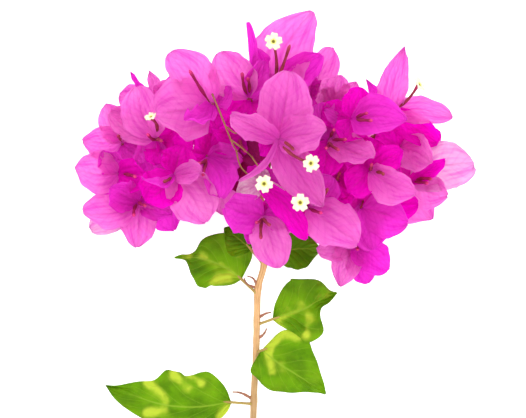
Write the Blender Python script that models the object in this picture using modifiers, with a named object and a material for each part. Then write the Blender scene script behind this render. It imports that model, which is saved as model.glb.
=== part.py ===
"""A cut bougainvillea sprig lying on a level surface: a woody stem, boughs, papery blooms and leaves.

The layout is written in millimetres in plan, with +X to the right, +Y towards the tip of the
sprig and +Z up from the surface, and every object is built in metres.
"""

import math

import bmesh
import bpy
import numpy as np
from mathutils import Matrix, Vector

MM = 0.001
ORIGIN = (-0.3, -2.9, 0.17)  # layout point below the middle of the sprig, which becomes the origin

# Thin parts
BRACT_THICK = 0.5
LEAF_THICK = 0.7
STALK_RADIUS = 0.8
SEAT_GAP = 0.3  # between a limb's foot and what carries it

# Bracts: three to five papery leaves round three slim flowers make one bloom
BRACT_WIDTH = 0.92  # width over length
BRACT_ROUND = 0.42  # how fast the outline widens from the foot
BRACT_POINT = 0.74  # how fast it closes towards the tip
BRACT_CUP = 24.0  # radius that the blade curls to across its midrib
BRACT_FOOT_OPEN = 0.55  # share of the opening angle that the foot has
BRACT_TIP_OPEN = 1.35  # share that the tip has
BRACT_ALONG = 4  # faces along a bract
BRACT_ACROSS = 2  # and across it
BRACT_WAVE = 0.9  # height of the ripple along the margins
BRACT_START = 0.04  # where along its outline a bract's narrow foot is cut
BRACT_END = 0.97  # and its tip
FOOT_HALF_WIDTH = 0.6  # half the width of a bract at its very foot
FOOT_SPREAD = 1.1  # how fast a bract may widen with its distance from the bloom's axis

# Flowers inside a bloom
TUBE_LENGTH = 15.0
TUBE_RADIUS = 1.1
TUBE_OPEN = 0.5  # share of its bract's opening angle
TUBE_SIDES = 5
STAR_RADIUS = 4.6
STAR_THROAT = 0.8  # radius at the back of the open star
STAR_BELOW = 0.6  # how far the star reaches back over its tube
STAR_ABOVE = 1.6  # and how far its rim stands past the tube's end
STAR_SIDES = 10
RECEPTACLE_RADII = (1.2, 1.8)
RECEPTACLE_HALF_LENGTH = 1.5
PEDICEL_RADIUS = 0.8
PEDICEL_SIDES = 6

# Room of each bloom: it keeps to the space nearer to its own middle than to any other's
ROOM_AHEAD = 4.0  # the middle lies this far in front of the foot
ROOM_FLATNESS = 2.4  # heights count this many times over, so rooms lie over each other like tiles
ROOM_MARGIN = 0.5  # between a room's wall and the surface half way to the next room
ROOM_BEHIND = 4.0  # how far the room reaches behind the foot
ROOM_FLOOR = 0.3  # lowest height in every room
ROOM_SHARPNESS = 5  # the higher, the later a point feels the wall
ROOM_OVERREACH = 1.4  # a longer bract than this many times its room is shortened first

# Limbs
LIMB_SIDES = 8
STUB_SIDES = 6
STUB_TAPER = 0.55  # tip radius over foot radius
KNOB_RADIUS = 1.9  # swelling at a bough's tip
KNOB_END = 0.6  # share of that radius that closes the tip, and of it that the tip stands past
SHARP_ANGLE = 40  # degrees; edges bent less than this are shaded smooth
WELD = 3e-6  # metres

# Leaf blades
LEAF_ALONG = 12
LEAF_STEPS = 5  # points worked out between two of the midrib's
LEAF_ACROSS = 2
LEAF_WAVE = 0.8  # height of the ripple along the margins
LEAF_STALK_REACH = 3.0  # how far the stalk runs on under the blade

# The stem's centre line from the cut end to its tip: x, y, z and the radius there
STEM = (
    (-10.5, -112.0, 1.9, 1.75),
    (-10.0, -100.5, 4.0, 1.70),
    (-9.5, -85.5, 8.0, 1.70),
    (-8.5, -64.5, 13.0, 1.65),
    (-8.0, -44.0, 17.0, 1.65),
    (-7.5, -32.5, 20.0, 1.65),
    (-4.5, -20.5, 27.0, 1.60),
    (-4.5, -5.5, 33.0, 1.55),
    (-6.0, 12.0, 37.0, 1.50),
    (-12.5, 28.0, 40.0, 1.40),
    (-19.5, 40.5, 42.0, 1.30),
    (-27.0, 52.0, 43.0, 1.15),
)

# Short dried stubs on the stem: foot, tip and radius
STUBS = {
    "low": ((-10.0, -90.5, 6.5), (-20.0, -86.5, 8.5), 0.75),
    "middle": ((-8.2, -59.5, 14.0), (-4.8, -54.0, 16.0), 0.8),
    "upper": ((-8.0, -48.5, 16.0), (-3.0, -44.5, 18.5), 0.8),
    "curl_left": ((-7.7, -33.0, 20.0), (-14.5, -28.5, 22.5), 0.55),
    "curl_mid": ((-7.6, -32.0, 20.5), (-12.0, -27.0, 25.0), 0.55),
}

# Boughs: the limb that carries it, its path with the foot on that limb's centre line,
# and the radii at its foot and at its tip
BOUGHS = {
    "top": ("stem", ((-19.5, 40.5, 42.0), (-13.0, 49.0, 41.0), (-4.0, 55.0, 39.0)), 1.1, 0.9),
    "top_left": ("stem", ((-25.0, 49.0, 43.0), (-35.0, 51.0, 43.0), (-46.0, 49.0, 42.0)), 1.1, 0.9),
    "left": ("stem", ((-12.5, 28.0, 40.0), (-34.0, 32.0, 37.0), (-57.0, 27.0, 36.0)), 1.2, 0.9),
    "inner": ("stem", ((-9.5, 20.5, 38.5), (-20.0, 22.0, 43.0), (-32.0, 27.0, 46.0)), 1.1, 0.9),
    "front": ("stem", ((-7.5, 16.0, 38.0), (-3.5, 23.0, 43.0), (-1.0, 34.0, 50.5)), 1.2, 0.9),
    "bottom": ("stem", ((-4.5, -5.5, 33.0), (2.0, 1.0, 39.0), (7.0, 9.0, 46.0)), 1.1, 0.9),
    "right": ("stem", ((-5.3, 4.0, 35.3), (18.0, 16.0, 37.0), (47.0, 21.0, 38.0)), 1.3, 0.9),
    "upper_right": ("stem", ((-6.8, 14.0, 37.4), (10.0, 30.0, 39.0), (31.0, 46.0, 41.0)), 1.2, 0.9),
    "far_top": ("upper_right", ((15.0, 34.5, 39.7), (34.0, 38.0, 36.0), (50.0, 43.0, 37.0)), 1.0, 0.9),
    "tail": ("right", ((18.0, 16.0, 37.0), (28.0, 6.0, 34.0), (37.0, -1.0, 32.0)), 1.0, 0.9),
    "under_right": ("stem", ((-4.6, -2.0, 33.7), (5.0, 4.0, 30.0), (15.0, 10.0, 28.0)), 1.0, 0.9),
    "under_left": ("stem", ((-8.5, 18.0, 38.0), (-13.0, 21.0, 33.0), (-17.0, 23.0, 29.0)), 1.0, 0.9),
}

# Blooms: the bough, the foot, where the bloom faces (bearing in plan from +X, and lean from +Z),
# and for each bract the way it points in plan, its opening from the bloom's axis and its length
BLOOMS = {
    "crown": ("top", (0, 65, 44), (78, 50), ((64, 34, 44), (146, 42, 32), (10, 40, 28))),
    "crown_right": ("top", (18, 63, 34), (65, 60), ((68, 40, 26), (150, 45, 26), (0, 45, 24))),
    "upper_left": ("top", (-12, 62, 54), (105, 25), (
        (134, 54, 31), (88, 48, 42), (70, 45, 26), (255, 60, 32))),
    "left_top": ("top_left", (-30, 58, 60), (150, 25), ((112, 48, 35), (46, 50, 27), (216, 60, 42))),
    "left_star": ("top_left", (-57, 42, 56), (140, 30), ((112, 50, 29), (258, 55, 21), (340, 52, 34))),
    "left_edge": ("left", (-75, 40, 44), (165, 35), ((94, 45, 19), (176, 48, 18), (320, 50, 30))),
    "left_spike": ("top_left", (-59, 59, 38), (110, 50), ((142, 38, 21), (50, 42, 18), (210, 48, 22))),
    "far_left": ("left", (-76, 25, 44), (185, 20), ((172, 56, 23.5), (70, 50, 26), (285, 52, 26))),
    "lower_left": ("left", (-66, 11, 46), (225, 35), ((176, 48, 30), (278, 44, 25), (45, 50, 24))),
    "cup": ("inner", (-48, 24, 58), (250, 15), ((58, 55, 32), (138, 55, 20), (318, 56, 31))),
    "inner_left": ("inner", (-32, 33, 50), (300, 15), ((346, 52, 32), (210, 50, 26), (90, 50, 26))),
    "front_left": ("front", (-16, 44, 46), (170, 15), ((165, 60, 28), (75, 50, 24), (262, 60, 20))),
    "front": ("front", (2, 41, 68), (330, 12), (
        (86, 58, 38), (152, 56, 34), (303, 60, 45), (8, 46, 31), (222, 50, 34))),
    "pale_star": ("front", (-6, 20, 56), (270, 25), (
        (165, 55, 24), (12, 55, 22), (250, 50, 16), (308, 56, 34))),
    "bottom": ("bottom", (-5, 4, 52), (262, 38), ((182, 46, 28), (270, 40, 28), (345, 50, 26))),
    "right_low": ("bottom", (17, 8, 60), (315, 22), ((335, 55, 30), (205, 55, 20), (80, 55, 28))),
    "mid_dark": ("bottom", (31, 22, 42), (10, 15), ((350, 50, 28), (110, 50, 28), (230, 50, 28))),
    "core_right": ("upper_right", (27, 41, 58), (0, 12), ((340, 56, 32), (120, 50, 26), (240, 50, 28))),
    "right_core": ("upper_right", (40, 33, 36), (0, 10), ((190, 50, 28), (70, 50, 28), (310, 50, 28))),
    "right_upper": ("upper_right", (38, 51, 62), (40, 20), ((85, 48, 17), (352, 56, 27), (225, 55, 24))),
    "top_right": ("upper_right", (32, 58, 42), (85, 50), ((76, 34, 17), (160, 45, 24), (355, 45, 24))),
    "spire": ("far_top", (56, 55, 50), (65, 25), (
        (78, 54, 35), (335, 60, 36), (298, 53, 34), (212, 50, 24))),
    "right_mid": ("far_top", (63, 38, 44), (20, 45), ((30, 45, 24), (325, 42, 26), (150, 45, 26))),
    "right_cup": ("right", (47, 26, 60), (345, 22), ((328, 52, 28), (30, 55, 32), (160, 50, 28))),
    "far_right": ("right", (68, 21, 46), (355, 50), ((46, 42, 32), (280, 40, 13), (150, 45, 24))),
    "right_under": ("right", (44, 8, 48), (310, 40), ((326, 48, 24), (246, 44, 20), (100, 45, 24))),
    "tail": ("tail", (40, -9, 36), (280, 55), (
        (226, 38, 23), (334, 40, 26), (282, 38, 17), (100, 45, 22))),
    "back_left": ("left", (-52, 20, 22), (200, 150), ((156, 50, 34), (276, 52, 33), (30, 48, 34))),
    "back_top_left": ("top_left", (-42, 48, 22), (120, 155), (
        (90, 52, 34), (210, 50, 34), (330, 50, 34))),
    "back_top": ("top", (-4, 55, 22), (80, 160), ((30, 52, 34), (150, 50, 34), (270, 50, 34))),
    "back_middle": ("under_left", (-20, 32, 22), (250, 165), (
        (70, 52, 34), (190, 50, 30), (310, 50, 28))),
    "back_right": ("upper_right", (32, 46, 22), (40, 155), ((20, 52, 34), (140, 50, 34), (260, 50, 34))),
    "back_low": ("under_right", (20, 14, 22), (280, 155), ((30, 52, 34), (150, 50, 34), (270, 50, 34))),
    "back_far": ("right", (56, 22, 22), (340, 145), ((60, 52, 34), (180, 50, 34), (300, 50, 34))),
}

# Bracts narrower than the rest, by bloom and number: their share of the usual width
NARROW_BRACTS = {
    ("upper_left", 1): 0.3, ("spire", 0): 0.62, ("spire", 1): 0.7, ("crown", 0): 0.85,
    ("left_spike", 0): 0.5, ("front", 1): 0.8, ("front", 2): 0.72, ("front", 3): 1.1,
    ("front", 4): 0.4, ("pale_star", 3): 0.55, ("left_top", 0): 1.15, ("far_right", 0): 1.05,
    ("left_spike", 1): 0.6, ("tail", 0): 0.9,
}

# Blooms whose flower is an open star, and which bract it stands by; the others' flower is closed
OPEN_FLOWERS = {"crown": 0, "left_star": 0, "pale_star": 1, "front": 2, "spire": 0, "right_low": 0}

# Leaves: where the stalk leaves the stem, the midrib, the half widths of the left and of the right
# half at shares of its length, and how far the halves fold up in degrees
LEAVES = {
    "low_left": (
        (-9.7, -93.0, 6.5),
        ((-21.5, -91.9, 9), (-38.5, -94, 12), (-56.5, -92.9, 11), (-73.5, -87.8, 7.5),
         (-86.4, -83.7, 4)),
        ((0, 0.5), (0.04, 4.6), (0.15, 8.8), (0.3, 10.8), (0.45, 11.3), (0.6, 9.8), (0.75, 8),
         (0.9, 4.8), (1, 0.3)),
        ((0, 0.5), (0.03, 8), (0.12, 16), (0.2, 17.2), (0.3, 14.9), (0.36, 14.8), (0.42, 17.2),
         (0.56, 16.2), (0.63, 10), (0.75, 7), (0.9, 1.8), (1, 0.3)),
        10,
    ),
    "low_right": (
        (-8.6, -66.0, 12.5),
        ((-5.5, -64.6, 16), (3.7, -71.7, 17.5), (14.9, -78.9, 15.5), (27.2, -87.5, 10)),
        ((0, 2), (0.03, 13.5), (0.15, 18), (0.3, 19.6), (0.44, 17.8), (0.54, 14.9), (0.64, 11.6),
         (0.75, 8.3), (0.88, 4.4), (1, 0.3)),
        ((0, 2), (0.03, 11), (0.15, 12.5), (0.25, 13.7), (0.39, 12.7), (0.6, 9), (0.76, 5),
         (0.94, 1.2), (1, 0.3)),
        14,
    ),
    "high_right": (
        (-8.0, -51.5, 15.5),
        ((0.1, -48.5, 19), (7.2, -45.9, 21.5), (15.4, -43.4, 22), (23, -39.3, 20.5),
         (32.7, -35.3, 17)),
        ((0, 0.5), (0.1, 5), (0.18, 8.4), (0.34, 14.4), (0.48, 15.7), (0.6, 14.6), (0.75, 11.4),
         (0.85, 8), (0.91, 3), (1, 0.3)),
        ((0, 0.5), (0.06, 3.9), (0.18, 8.5), (0.3, 12.4), (0.38, 16.2), (0.48, 16.5), (0.57, 14.4),
         (0.62, 8.5), (0.7, 5.6), (0.83, 3.6), (1, 0.3)),
        16,
    ),
    "high_left": (
        (-7.6, -36.0, 19.5),
        ((-16, -28.1, 21), (-23.8, -22.5, 23), (-32.9, -18.4, 22.5), (-41.1, -16.9, 19),
         (-50.2, -17.4, 15)),
        ((0, 0.5), (0.05, 4.6), (0.15, 8.6), (0.256, 10.4), (0.33, 11.2), (0.4, 14), (0.53, 13.8),
         (0.64, 12.2), (0.75, 8.6), (0.8, 4.4), (0.86, 1.5), (1, 0.3)),
        ((0, 0.5), (0.05, 11), (0.15, 16), (0.256, 18.5), (0.4, 16.5), (0.53, 13.7), (0.64, 9.1),
         (0.7, 3.6), (0.78, 1.5), (0.9, 1.3), (1, 0.3)),
        9,
    ),
    "behind_left": (
        (-5.0, -20.0, 26.0),
        ((-11, -13, 28), (-15.5, -9, 29), (-20, -5.5, 28), (-24.5, -2, 26)),
        ((0, 0.5), (0.08, 5), (0.25, 8.5), (0.45, 9), (0.7, 6), (1, 0.3)),
        ((0, 0.5), (0.08, 5), (0.25, 8.5), (0.45, 9), (0.7, 6), (1, 0.3)),
        14,
    ),
    "behind_right": (
        (-4.5, -18.0, 27.5),
        ((1.5, -14.2, 24), (9, -13, 24.5), (17, -12.6, 22.5), (25, -13.2, 18)),
        ((0, 0.5), (0.1, 5), (0.3, 8), (0.5, 8), (0.7, 6), (0.9, 2), (1, 0.3)),
        ((0, 0.5), (0.05, 4.5), (0.15, 8.2), (0.3, 9.7), (0.5, 10.3), (0.7, 8.3), (0.85, 4),
         (0.95, 1.4), (1, 0.3)),
        14,
    ),
}

WOOD = (0.62, 0.42, 0.24)
MAGENTA = (0.80, 0.08, 0.52)
LEAF_GREEN = (0.19, 0.34, 0.03)


def direction(bearing, lean):
    """Unit vector that leans from +Z towards a bearing in plan, both in degrees."""
    b = math.radians(bearing)
    t = math.radians(lean)
    return np.array((math.sin(t) * math.cos(b), math.sin(t) * math.sin(b), math.cos(t)))


def unit(vector):
    return vector / np.linalg.norm(vector)


def turn_to(axis):
    """3 by 3 matrix of the shortest turn from +Z to the axis."""
    return np.array(Vector((0, 0, 1)).rotation_difference(Vector(axis)).to_matrix())


def clear_scene():
    for obj in list(bpy.data.objects):
        bpy.data.objects.remove(obj, do_unlink=True)


def new_collection(name):
    collection = bpy.data.collections.new(name)
    bpy.context.scene.collection.children.link(collection)
    return collection


def new_material(name, colour, roughness):
    material = bpy.data.materials.new(name)
    material.use_nodes = True
    shader = material.node_tree.nodes["Principled BSDF"]
    shader.inputs["Base Color"].default_value = (*colour, 1.0)
    shader.inputs["Roughness"].default_value = roughness
    return material


def new_object(name, mesh, collection):
    obj = bpy.data.objects.new(name, mesh)
    collection.objects.link(obj)
    return obj


def mesh_from(name, bm):
    mesh = bpy.data.meshes.new(name)
    bm.to_mesh(mesh)
    bm.free()
    return mesh


def to_world(points):
    """Layout millimetres to metres in the part's frame."""
    return (np.asarray(points, float) - ORIGIN) * MM


def move_vertices(bm, shape):
    """Replaces each vertex by the layout point that shape gives for all of them at once."""
    bm.verts.ensure_lookup_table()
    points = to_world(shape(np.array([v.co for v in bm.verts])))
    for vert, point in zip(bm.verts, points):
        vert.co = point


def blade(name, along, across, shape, thickness, collection):
    """A thin closed blade: a grid whose corners shape(u, v) places, made solid."""
    bm = bmesh.new()
    bmesh.ops.create_grid(bm, x_segments=along, y_segments=across, size=1.0)
    move_vertices(bm, lambda flat: shape((flat[:, 0] + 1) / 2, flat[:, 1]))
    obj = new_object(name, mesh_from(name, bm), collection)
    solid = obj.modifiers.new("thickness", "SOLIDIFY")
    solid.thickness = thickness * MM
    solid.offset = 0.0
    return obj


def rod(name, start, end, radii, sides, collection, shape=None):
    """A closed tapering rod between two layout points, passed through shape if there is one."""
    start = np.asarray(start, float)
    run = np.asarray(end, float) - start
    length = np.linalg.norm(run)
    turn = turn_to(run / length)
    bm = bmesh.new()
    bmesh.ops.create_cone(
        bm, segments=sides, radius1=radii[0], radius2=radii[1], depth=length, cap_ends=True
    )

    def place(upright):
        placed = start + (upright + (0, 0, length / 2)) @ turn.T
        return shape(placed) if shape else placed

    move_vertices(bm, place)
    return new_object(name, mesh_from(name, bm), collection)


def keep_largest_shell(mesh):
    """Drops the scraps and fills the sealed hollows that a union can leave where sheets cross."""
    bm = bmesh.new()
    bm.from_mesh(mesh)
    bmesh.ops.remove_doubles(bm, verts=bm.verts, dist=WELD)
    unseen = set(bm.faces)
    shells = []
    while unseen:
        shell = [unseen.pop()]
        for face in shell:
            plain = [edge for edge in face.edges if len(edge.link_faces) == 2]
            near = {other for edge in plain for other in edge.link_faces} & unseen
            unseen -= near
            shell.extend(near)
        shells.append(shell)
    largest = max(shells, key=len)
    scraps = [face for shell in shells if shell is not largest for face in shell]
    bmesh.ops.delete(bm, geom=scraps, context="FACES")
    bm.to_mesh(mesh)
    bm.free()


def fuse(name, body, pieces, material, collection):
    """One Boolean union of the body with the collection of its pieces, which is then emptied."""
    join = body.modifiers.new("fuse", "BOOLEAN")
    join.operation = "UNION"
    join.operand_type = "COLLECTION"
    join.collection = pieces
    join.solver = "MANIFOLD"
    bpy.context.view_layer.update()
    evaluated = body.evaluated_get(bpy.context.evaluated_depsgraph_get())
    mesh = bpy.data.meshes.new_from_object(evaluated)
    mesh.name = name
    keep_largest_shell(mesh)
    for piece in [*pieces.objects, body]:
        bpy.data.objects.remove(piece, do_unlink=True)
    mesh.materials.clear()
    mesh.materials.append(material)
    mesh.shade_smooth()
    mesh.set_sharp_from_angle(angle=math.radians(SHARP_ANGLE))
    return new_object(name, mesh, collection)


# Limbs


def smooth_path(points, steps):
    """Points of a curve that runs evenly through the given ones (Catmull-Rom)."""
    points = np.asarray(points, float)
    ends = np.vstack((2 * points[0] - points[1], points, 2 * points[-1] - points[-2]))
    t = np.linspace(0, 1, steps, endpoint=False)[:, None]
    spans = [
        0.5 * (2 * b + (c - a) * t + (2 * a - 5 * b + 4 * c - d) * t**2
               + (3 * b - a - 3 * c + d) * t**3)
        for a, b, c, d in zip(ends, ends[1:], ends[2:], ends[3:])
    ]
    return np.vstack((*spans, points[-1]))


def tube(name, path, radii, collection):
    """A closed round limb along a path, from a curve with a bevel, as a welded mesh."""
    curve = bpy.data.curves.new(name, "CURVE")
    curve.dimensions = "3D"
    curve.bevel_depth = MM
    curve.bevel_resolution = LIMB_SIDES // 4
    curve.use_fill_caps = True
    spline = curve.splines.new("POLY")
    spline.points.add(len(path) - 1)
    for point, place, radius in zip(spline.points, to_world(path), radii):
        point.co = (*place, 1.0)
        point.radius = radius
    drawn = new_object(name + "_curve", curve, collection)
    bpy.context.view_layer.update()
    evaluated = drawn.evaluated_get(bpy.context.evaluated_depsgraph_get())
    mesh = bpy.data.meshes.new_from_object(evaluated)
    bpy.data.objects.remove(drawn, do_unlink=True)
    bm = bmesh.new()
    bm.from_mesh(mesh)
    bmesh.ops.remove_doubles(bm, verts=bm.verts, dist=WELD)
    bmesh.ops.recalc_face_normals(bm, faces=bm.faces)
    bm.to_mesh(mesh)
    bm.free()
    return new_object(name, mesh, collection)


def limb_line(name):
    """Centre line of the stem or of a bough, and the radii along it."""
    if name == "stem":
        places = smooth_path([row[:3] for row in STEM], 2)
        radii = np.interp(np.arange(len(places)) / 2, np.arange(len(STEM)), [row[3] for row in STEM])
        return places, radii
    _, path, foot_radius, tip_radius = BOUGHS[name]
    places = smooth_path(path, 3)
    return places, np.linspace(foot_radius, tip_radius, len(places))


def clear_foot(carrier, foot, run, radius):
    """Where a limb of this radius starts that leaves its carrier near foot, just clear of it."""
    places, radii = limb_line(carrier)
    chords = np.diff(places, axis=0)
    share = ((foot - places[:-1]) * chords).sum(1) / (chords**2).sum(1)
    points = places[:-1] + np.clip(share, 0, 1)[:, None] * chords
    nearest = np.linalg.norm(points - foot, axis=1).argmin()
    along = abs(run @ unit(chords[nearest]))
    away = math.sqrt(1 - along**2)
    return points[nearest] + run * (radii[nearest] + SEAT_GAP + radius * along) / away


def build_stem(wood, pieces, plant):
    """The woody stem with its flat cut end and its dried stubs."""
    body = tube("stem_body", *limb_line("stem"), plant)
    for name, (foot, tip, radius) in STUBS.items():
        rod("stub_" + name, foot, tip, (radius, radius * STUB_TAPER), STUB_SIDES, pieces)
    fuse("stem", body, pieces, wood, plant)


def build_bough(name, wood, plant):
    """A tapering bough whose foot stands clear of its carrier and whose tip swells to a knob."""
    carrier, _, foot_radius, tip_radius = BOUGHS[name]
    places, _ = limb_line(name)
    run = unit(places[1] - places[0])
    foot = clear_foot(carrier, places[0], run, foot_radius)
    beyond = places[(places - foot) @ run > foot_radius]
    end = unit(places[-1] - places[-2])
    neck = places[-1] - end * KNOB_RADIUS
    cap = places[-1] + end * KNOB_RADIUS * KNOB_END
    places = np.vstack((foot, beyond[:-1], neck, places[-1], cap))
    radii = np.linspace(foot_radius, tip_radius, len(places))
    radii[-2] = KNOB_RADIUS
    radii[-1] = KNOB_RADIUS * KNOB_END
    obj = tube("bough_" + name, places, radii, plant)
    obj.data.materials.append(wood)
    obj.data.shade_smooth()


# Blooms


def foot_of(name):
    return np.array(BLOOMS[name][1], float)


def axis_of(name):
    return direction(*BLOOMS[name][2])


def room_walls(name):
    """Outward normals and offsets of the flat walls round the space that a bloom keeps to."""
    foot = foot_of(name)
    axis = axis_of(name)
    middle = foot + ROOM_AHEAD * axis
    normals = [(0, 0, -1), -axis]
    offsets = [-ROOM_FLOOR, ROOM_BEHIND - foot @ axis]
    for other in BLOOMS:
        if other == name:
            continue
        across = foot_of(other) + ROOM_AHEAD * axis_of(other) - middle
        normal = across * (1, 1, ROOM_FLATNESS**2)
        normal /= np.linalg.norm(normal)
        normals.append(normal)
        offsets.append(normal @ (middle + across / 2) - ROOM_MARGIN)
    return np.array(normals), np.array(offsets)


def crowding(points, foot, walls):
    """How near each point is to the walls as seen from the foot: 0 at the foot, 1 on a wall."""
    normals, offsets = walls
    ahead = np.maximum((points - foot) @ normals.T, 0)
    return ((ahead / (offsets - normals @ foot)) ** ROOM_SHARPNESS).sum(1) ** (1 / ROOM_SHARPNESS)


def press(points, foot, walls):
    """Draws points that would pass a wall back towards the foot, so that all stay inside."""
    squeeze = (1 + crowding(points, foot, walls) ** ROOM_SHARPNESS) ** (1 / ROOM_SHARPNESS)
    return foot + (points - foot) / squeeze[:, None]


def bract_outline(u):
    """Half width of a bract along its length, as a share of the widest."""
    widest = BRACT_ROUND / (BRACT_ROUND + BRACT_POINT)
    peak = widest**BRACT_ROUND * (1 - widest) ** BRACT_POINT
    return u**BRACT_ROUND * (1 - u) ** BRACT_POINT / peak


def bract_points(u, v, length, opening, width=BRACT_WIDTH):
    """Middle surface of a bract that points along +X from a bloom that faces +Z."""
    foot_angle = math.radians(opening * BRACT_FOOT_OPEN)
    tip_angle = math.radians(opening * BRACT_TIP_OPEN)
    turn = tip_angle - foot_angle
    angle = foot_angle + turn * u
    out = length * (math.cos(foot_angle) - np.cos(angle)) / turn
    up = length * (np.sin(angle) - math.sin(foot_angle)) / turn
    along = (BRACT_START + (1 - BRACT_START) * u) * BRACT_END
    free = length * width / 2 * bract_outline(along)
    half = np.minimum(free, FOOT_HALF_WIDTH + FOOT_SPREAD * out)
    side = v * half
    curl = side / BRACT_CUP
    lift = BRACT_CUP * (1 - np.cos(curl)) + BRACT_WAVE * v**2 * np.sin(9 * u + 2 * v)
    return np.stack(
        (out - lift * np.cos(angle), BRACT_CUP * np.sin(curl), up + lift * np.sin(angle)), axis=1
    )


def build_bract(name, number, pieces):
    """One bract of a bloom, bent to stay in the bloom's room."""
    way, opening, length = BLOOMS[name][3][number]
    foot = foot_of(name)
    walls = room_walls(name)
    turn = bract_turn(name, number)
    width = BRACT_WIDTH * NARROW_BRACTS.get((name, number), 1.0)

    def shape(u, v):
        spread = bract_points(u, v, length, opening, width) @ turn.T
        reach = min(1.0, ROOM_OVERREACH / crowding(foot + spread, foot, walls).max())
        return press(foot + reach * spread, foot, walls)

    blade(f"bract_{number}", BRACT_ALONG, BRACT_ACROSS, shape, BRACT_THICK, pieces)


def bract_turn(name, number):
    """Matrix that turns a bract drawn along +X round +Z to its place round the bloom's axis."""
    way = BLOOMS[name][3][number][0]
    spin = np.array(Matrix.Rotation(math.radians(way), 3, "Z"))
    return turn_to(axis_of(name)) @ spin


def build_flower(name, pieces):
    """The bloom's flower: a slim tube, ending in an open star if the bloom has one."""
    foot = foot_of(name)
    walls = room_walls(name)
    number = OPEN_FLOWERS.get(name, 0)
    opening = BLOOMS[name][3][number][1]
    tilt = math.radians(opening * TUBE_OPEN)
    out = bract_turn(name, number) @ (math.sin(tilt), 0.0, math.cos(tilt))
    tip = foot + out * TUBE_LENGTH

    def keep(points):
        return press(points, foot, walls)

    rod("flower", foot, tip, (TUBE_RADIUS, TUBE_RADIUS * 0.8), TUBE_SIDES, pieces, keep)
    if name in OPEN_FLOWERS:
        back = tip - out * STAR_BELOW
        rim = tip + out * STAR_ABOVE
        rod("star", back, rim, (STAR_THROAT, STAR_RADIUS), STAR_SIDES, pieces, keep)


def build_bloom(name, magenta, pieces, plant):
    """The bracts and the flower on a short stalk, fused into one solid."""
    foot = foot_of(name)
    half = RECEPTACLE_HALF_LENGTH * axis_of(name)
    for number in range(len(BLOOMS[name][3])):
        build_bract(name, number, pieces)
    build_flower(name, pieces)
    bough = BLOOMS[name][0]
    knob = np.array(BOUGHS[bough][1][-1])
    start = knob + unit(foot - knob) * (KNOB_RADIUS + SEAT_GAP)
    rod("pedicel", start, foot, (PEDICEL_RADIUS, PEDICEL_RADIUS), PEDICEL_SIDES, pieces)
    body = rod("receptacle", foot - half, foot + half, RECEPTACLE_RADII, 5, plant)
    fuse("bloom_" + name, body, pieces, magenta, plant)


# Leaves


def leaf_points(u, v, row):
    """Middle surface of a leaf: half widths laid off beside its midrib, with both halves folded up."""
    _, midrib, left, right, fold = row
    path = smooth_path(midrib, LEAF_STEPS)
    run = np.cumsum(np.r_[0, np.linalg.norm(np.diff(path, axis=0), axis=1)])
    heading = np.gradient(path[:, :2], axis=0)
    heading /= np.linalg.norm(heading, axis=1)[:, None]
    columns = (*path.T, -heading[:, 1], heading[:, 0])
    x, y, z, across_x, across_y = (np.interp(u, run / run[-1], column) for column in columns)
    half = np.where(v > 0, np.interp(u, *np.transpose(left)), np.interp(u, *np.transpose(right)))
    side = v * half
    rise = np.abs(side) * math.tan(math.radians(fold)) + LEAF_WAVE * v**2 * np.sin(8 * u + v)
    return np.stack((x + side * across_x, y + side * across_y, z + rise), axis=1)


def build_leaf(name, green, pieces, plant):
    """A leaf blade fused to its stalk, which starts just clear of the stem."""
    row = LEAVES[name]
    foot, base = np.array(row[0]), np.array(row[1][0], float)
    run = unit(base - foot)
    start = clear_foot("stem", foot, run, STALK_RADIUS)

    def shape(u, v):
        return leaf_points(u, v, row)

    blade("blade", LEAF_ALONG, LEAF_ACROSS, shape, LEAF_THICK, pieces)
    end = base + run * LEAF_STALK_REACH
    body = rod("stalk", start, end, (STALK_RADIUS, 0.9 * STALK_RADIUS), PEDICEL_SIDES, plant)
    fuse("leaf_" + name, body, pieces, green, plant)


def main():
    clear_scene()
    plant = new_collection("bougainvillea_sprig")
    pieces = new_collection("pieces_to_fuse")
    wood = new_material("stem_wood", WOOD, 0.75)
    magenta = new_material("bract_magenta", MAGENTA, 0.6)
    green = new_material("leaf_green", LEAF_GREEN, 0.5)
    build_stem(wood, pieces, plant)
    for name in BOUGHS:
        build_bough(name, wood, plant)
    for name in BLOOMS:
        build_bloom(name, magenta, pieces, plant)
    for name in LEAVES:
        build_leaf(name, green, pieces, plant)


main()
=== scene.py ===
import math

import bmesh
import bpy
import numpy as np
from mathutils import Matrix, Vector


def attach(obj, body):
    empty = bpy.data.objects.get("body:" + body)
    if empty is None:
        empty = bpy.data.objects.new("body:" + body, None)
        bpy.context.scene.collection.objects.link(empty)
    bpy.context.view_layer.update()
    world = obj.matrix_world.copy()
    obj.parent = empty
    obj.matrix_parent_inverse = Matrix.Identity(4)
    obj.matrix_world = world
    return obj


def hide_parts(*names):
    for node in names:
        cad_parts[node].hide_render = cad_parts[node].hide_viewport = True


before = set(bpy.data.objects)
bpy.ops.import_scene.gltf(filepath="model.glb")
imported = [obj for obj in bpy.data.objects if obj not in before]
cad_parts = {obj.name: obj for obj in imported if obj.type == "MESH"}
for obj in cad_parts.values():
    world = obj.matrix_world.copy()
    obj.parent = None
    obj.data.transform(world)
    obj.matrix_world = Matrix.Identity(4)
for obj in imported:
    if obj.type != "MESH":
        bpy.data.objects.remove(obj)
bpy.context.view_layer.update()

millimetre = 0.001
seeds = {"bracts": 100, "flowers": 500, "leaves": 900}  # each bloom or leaf counts on from here

# The plan of the sprig, in millimetres: x to the right, y towards its tip, z up from the table.
layoutOrigin = np.array((-0.3, -2.9, 0.17))  # the point of the plan that becomes the origin

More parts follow.
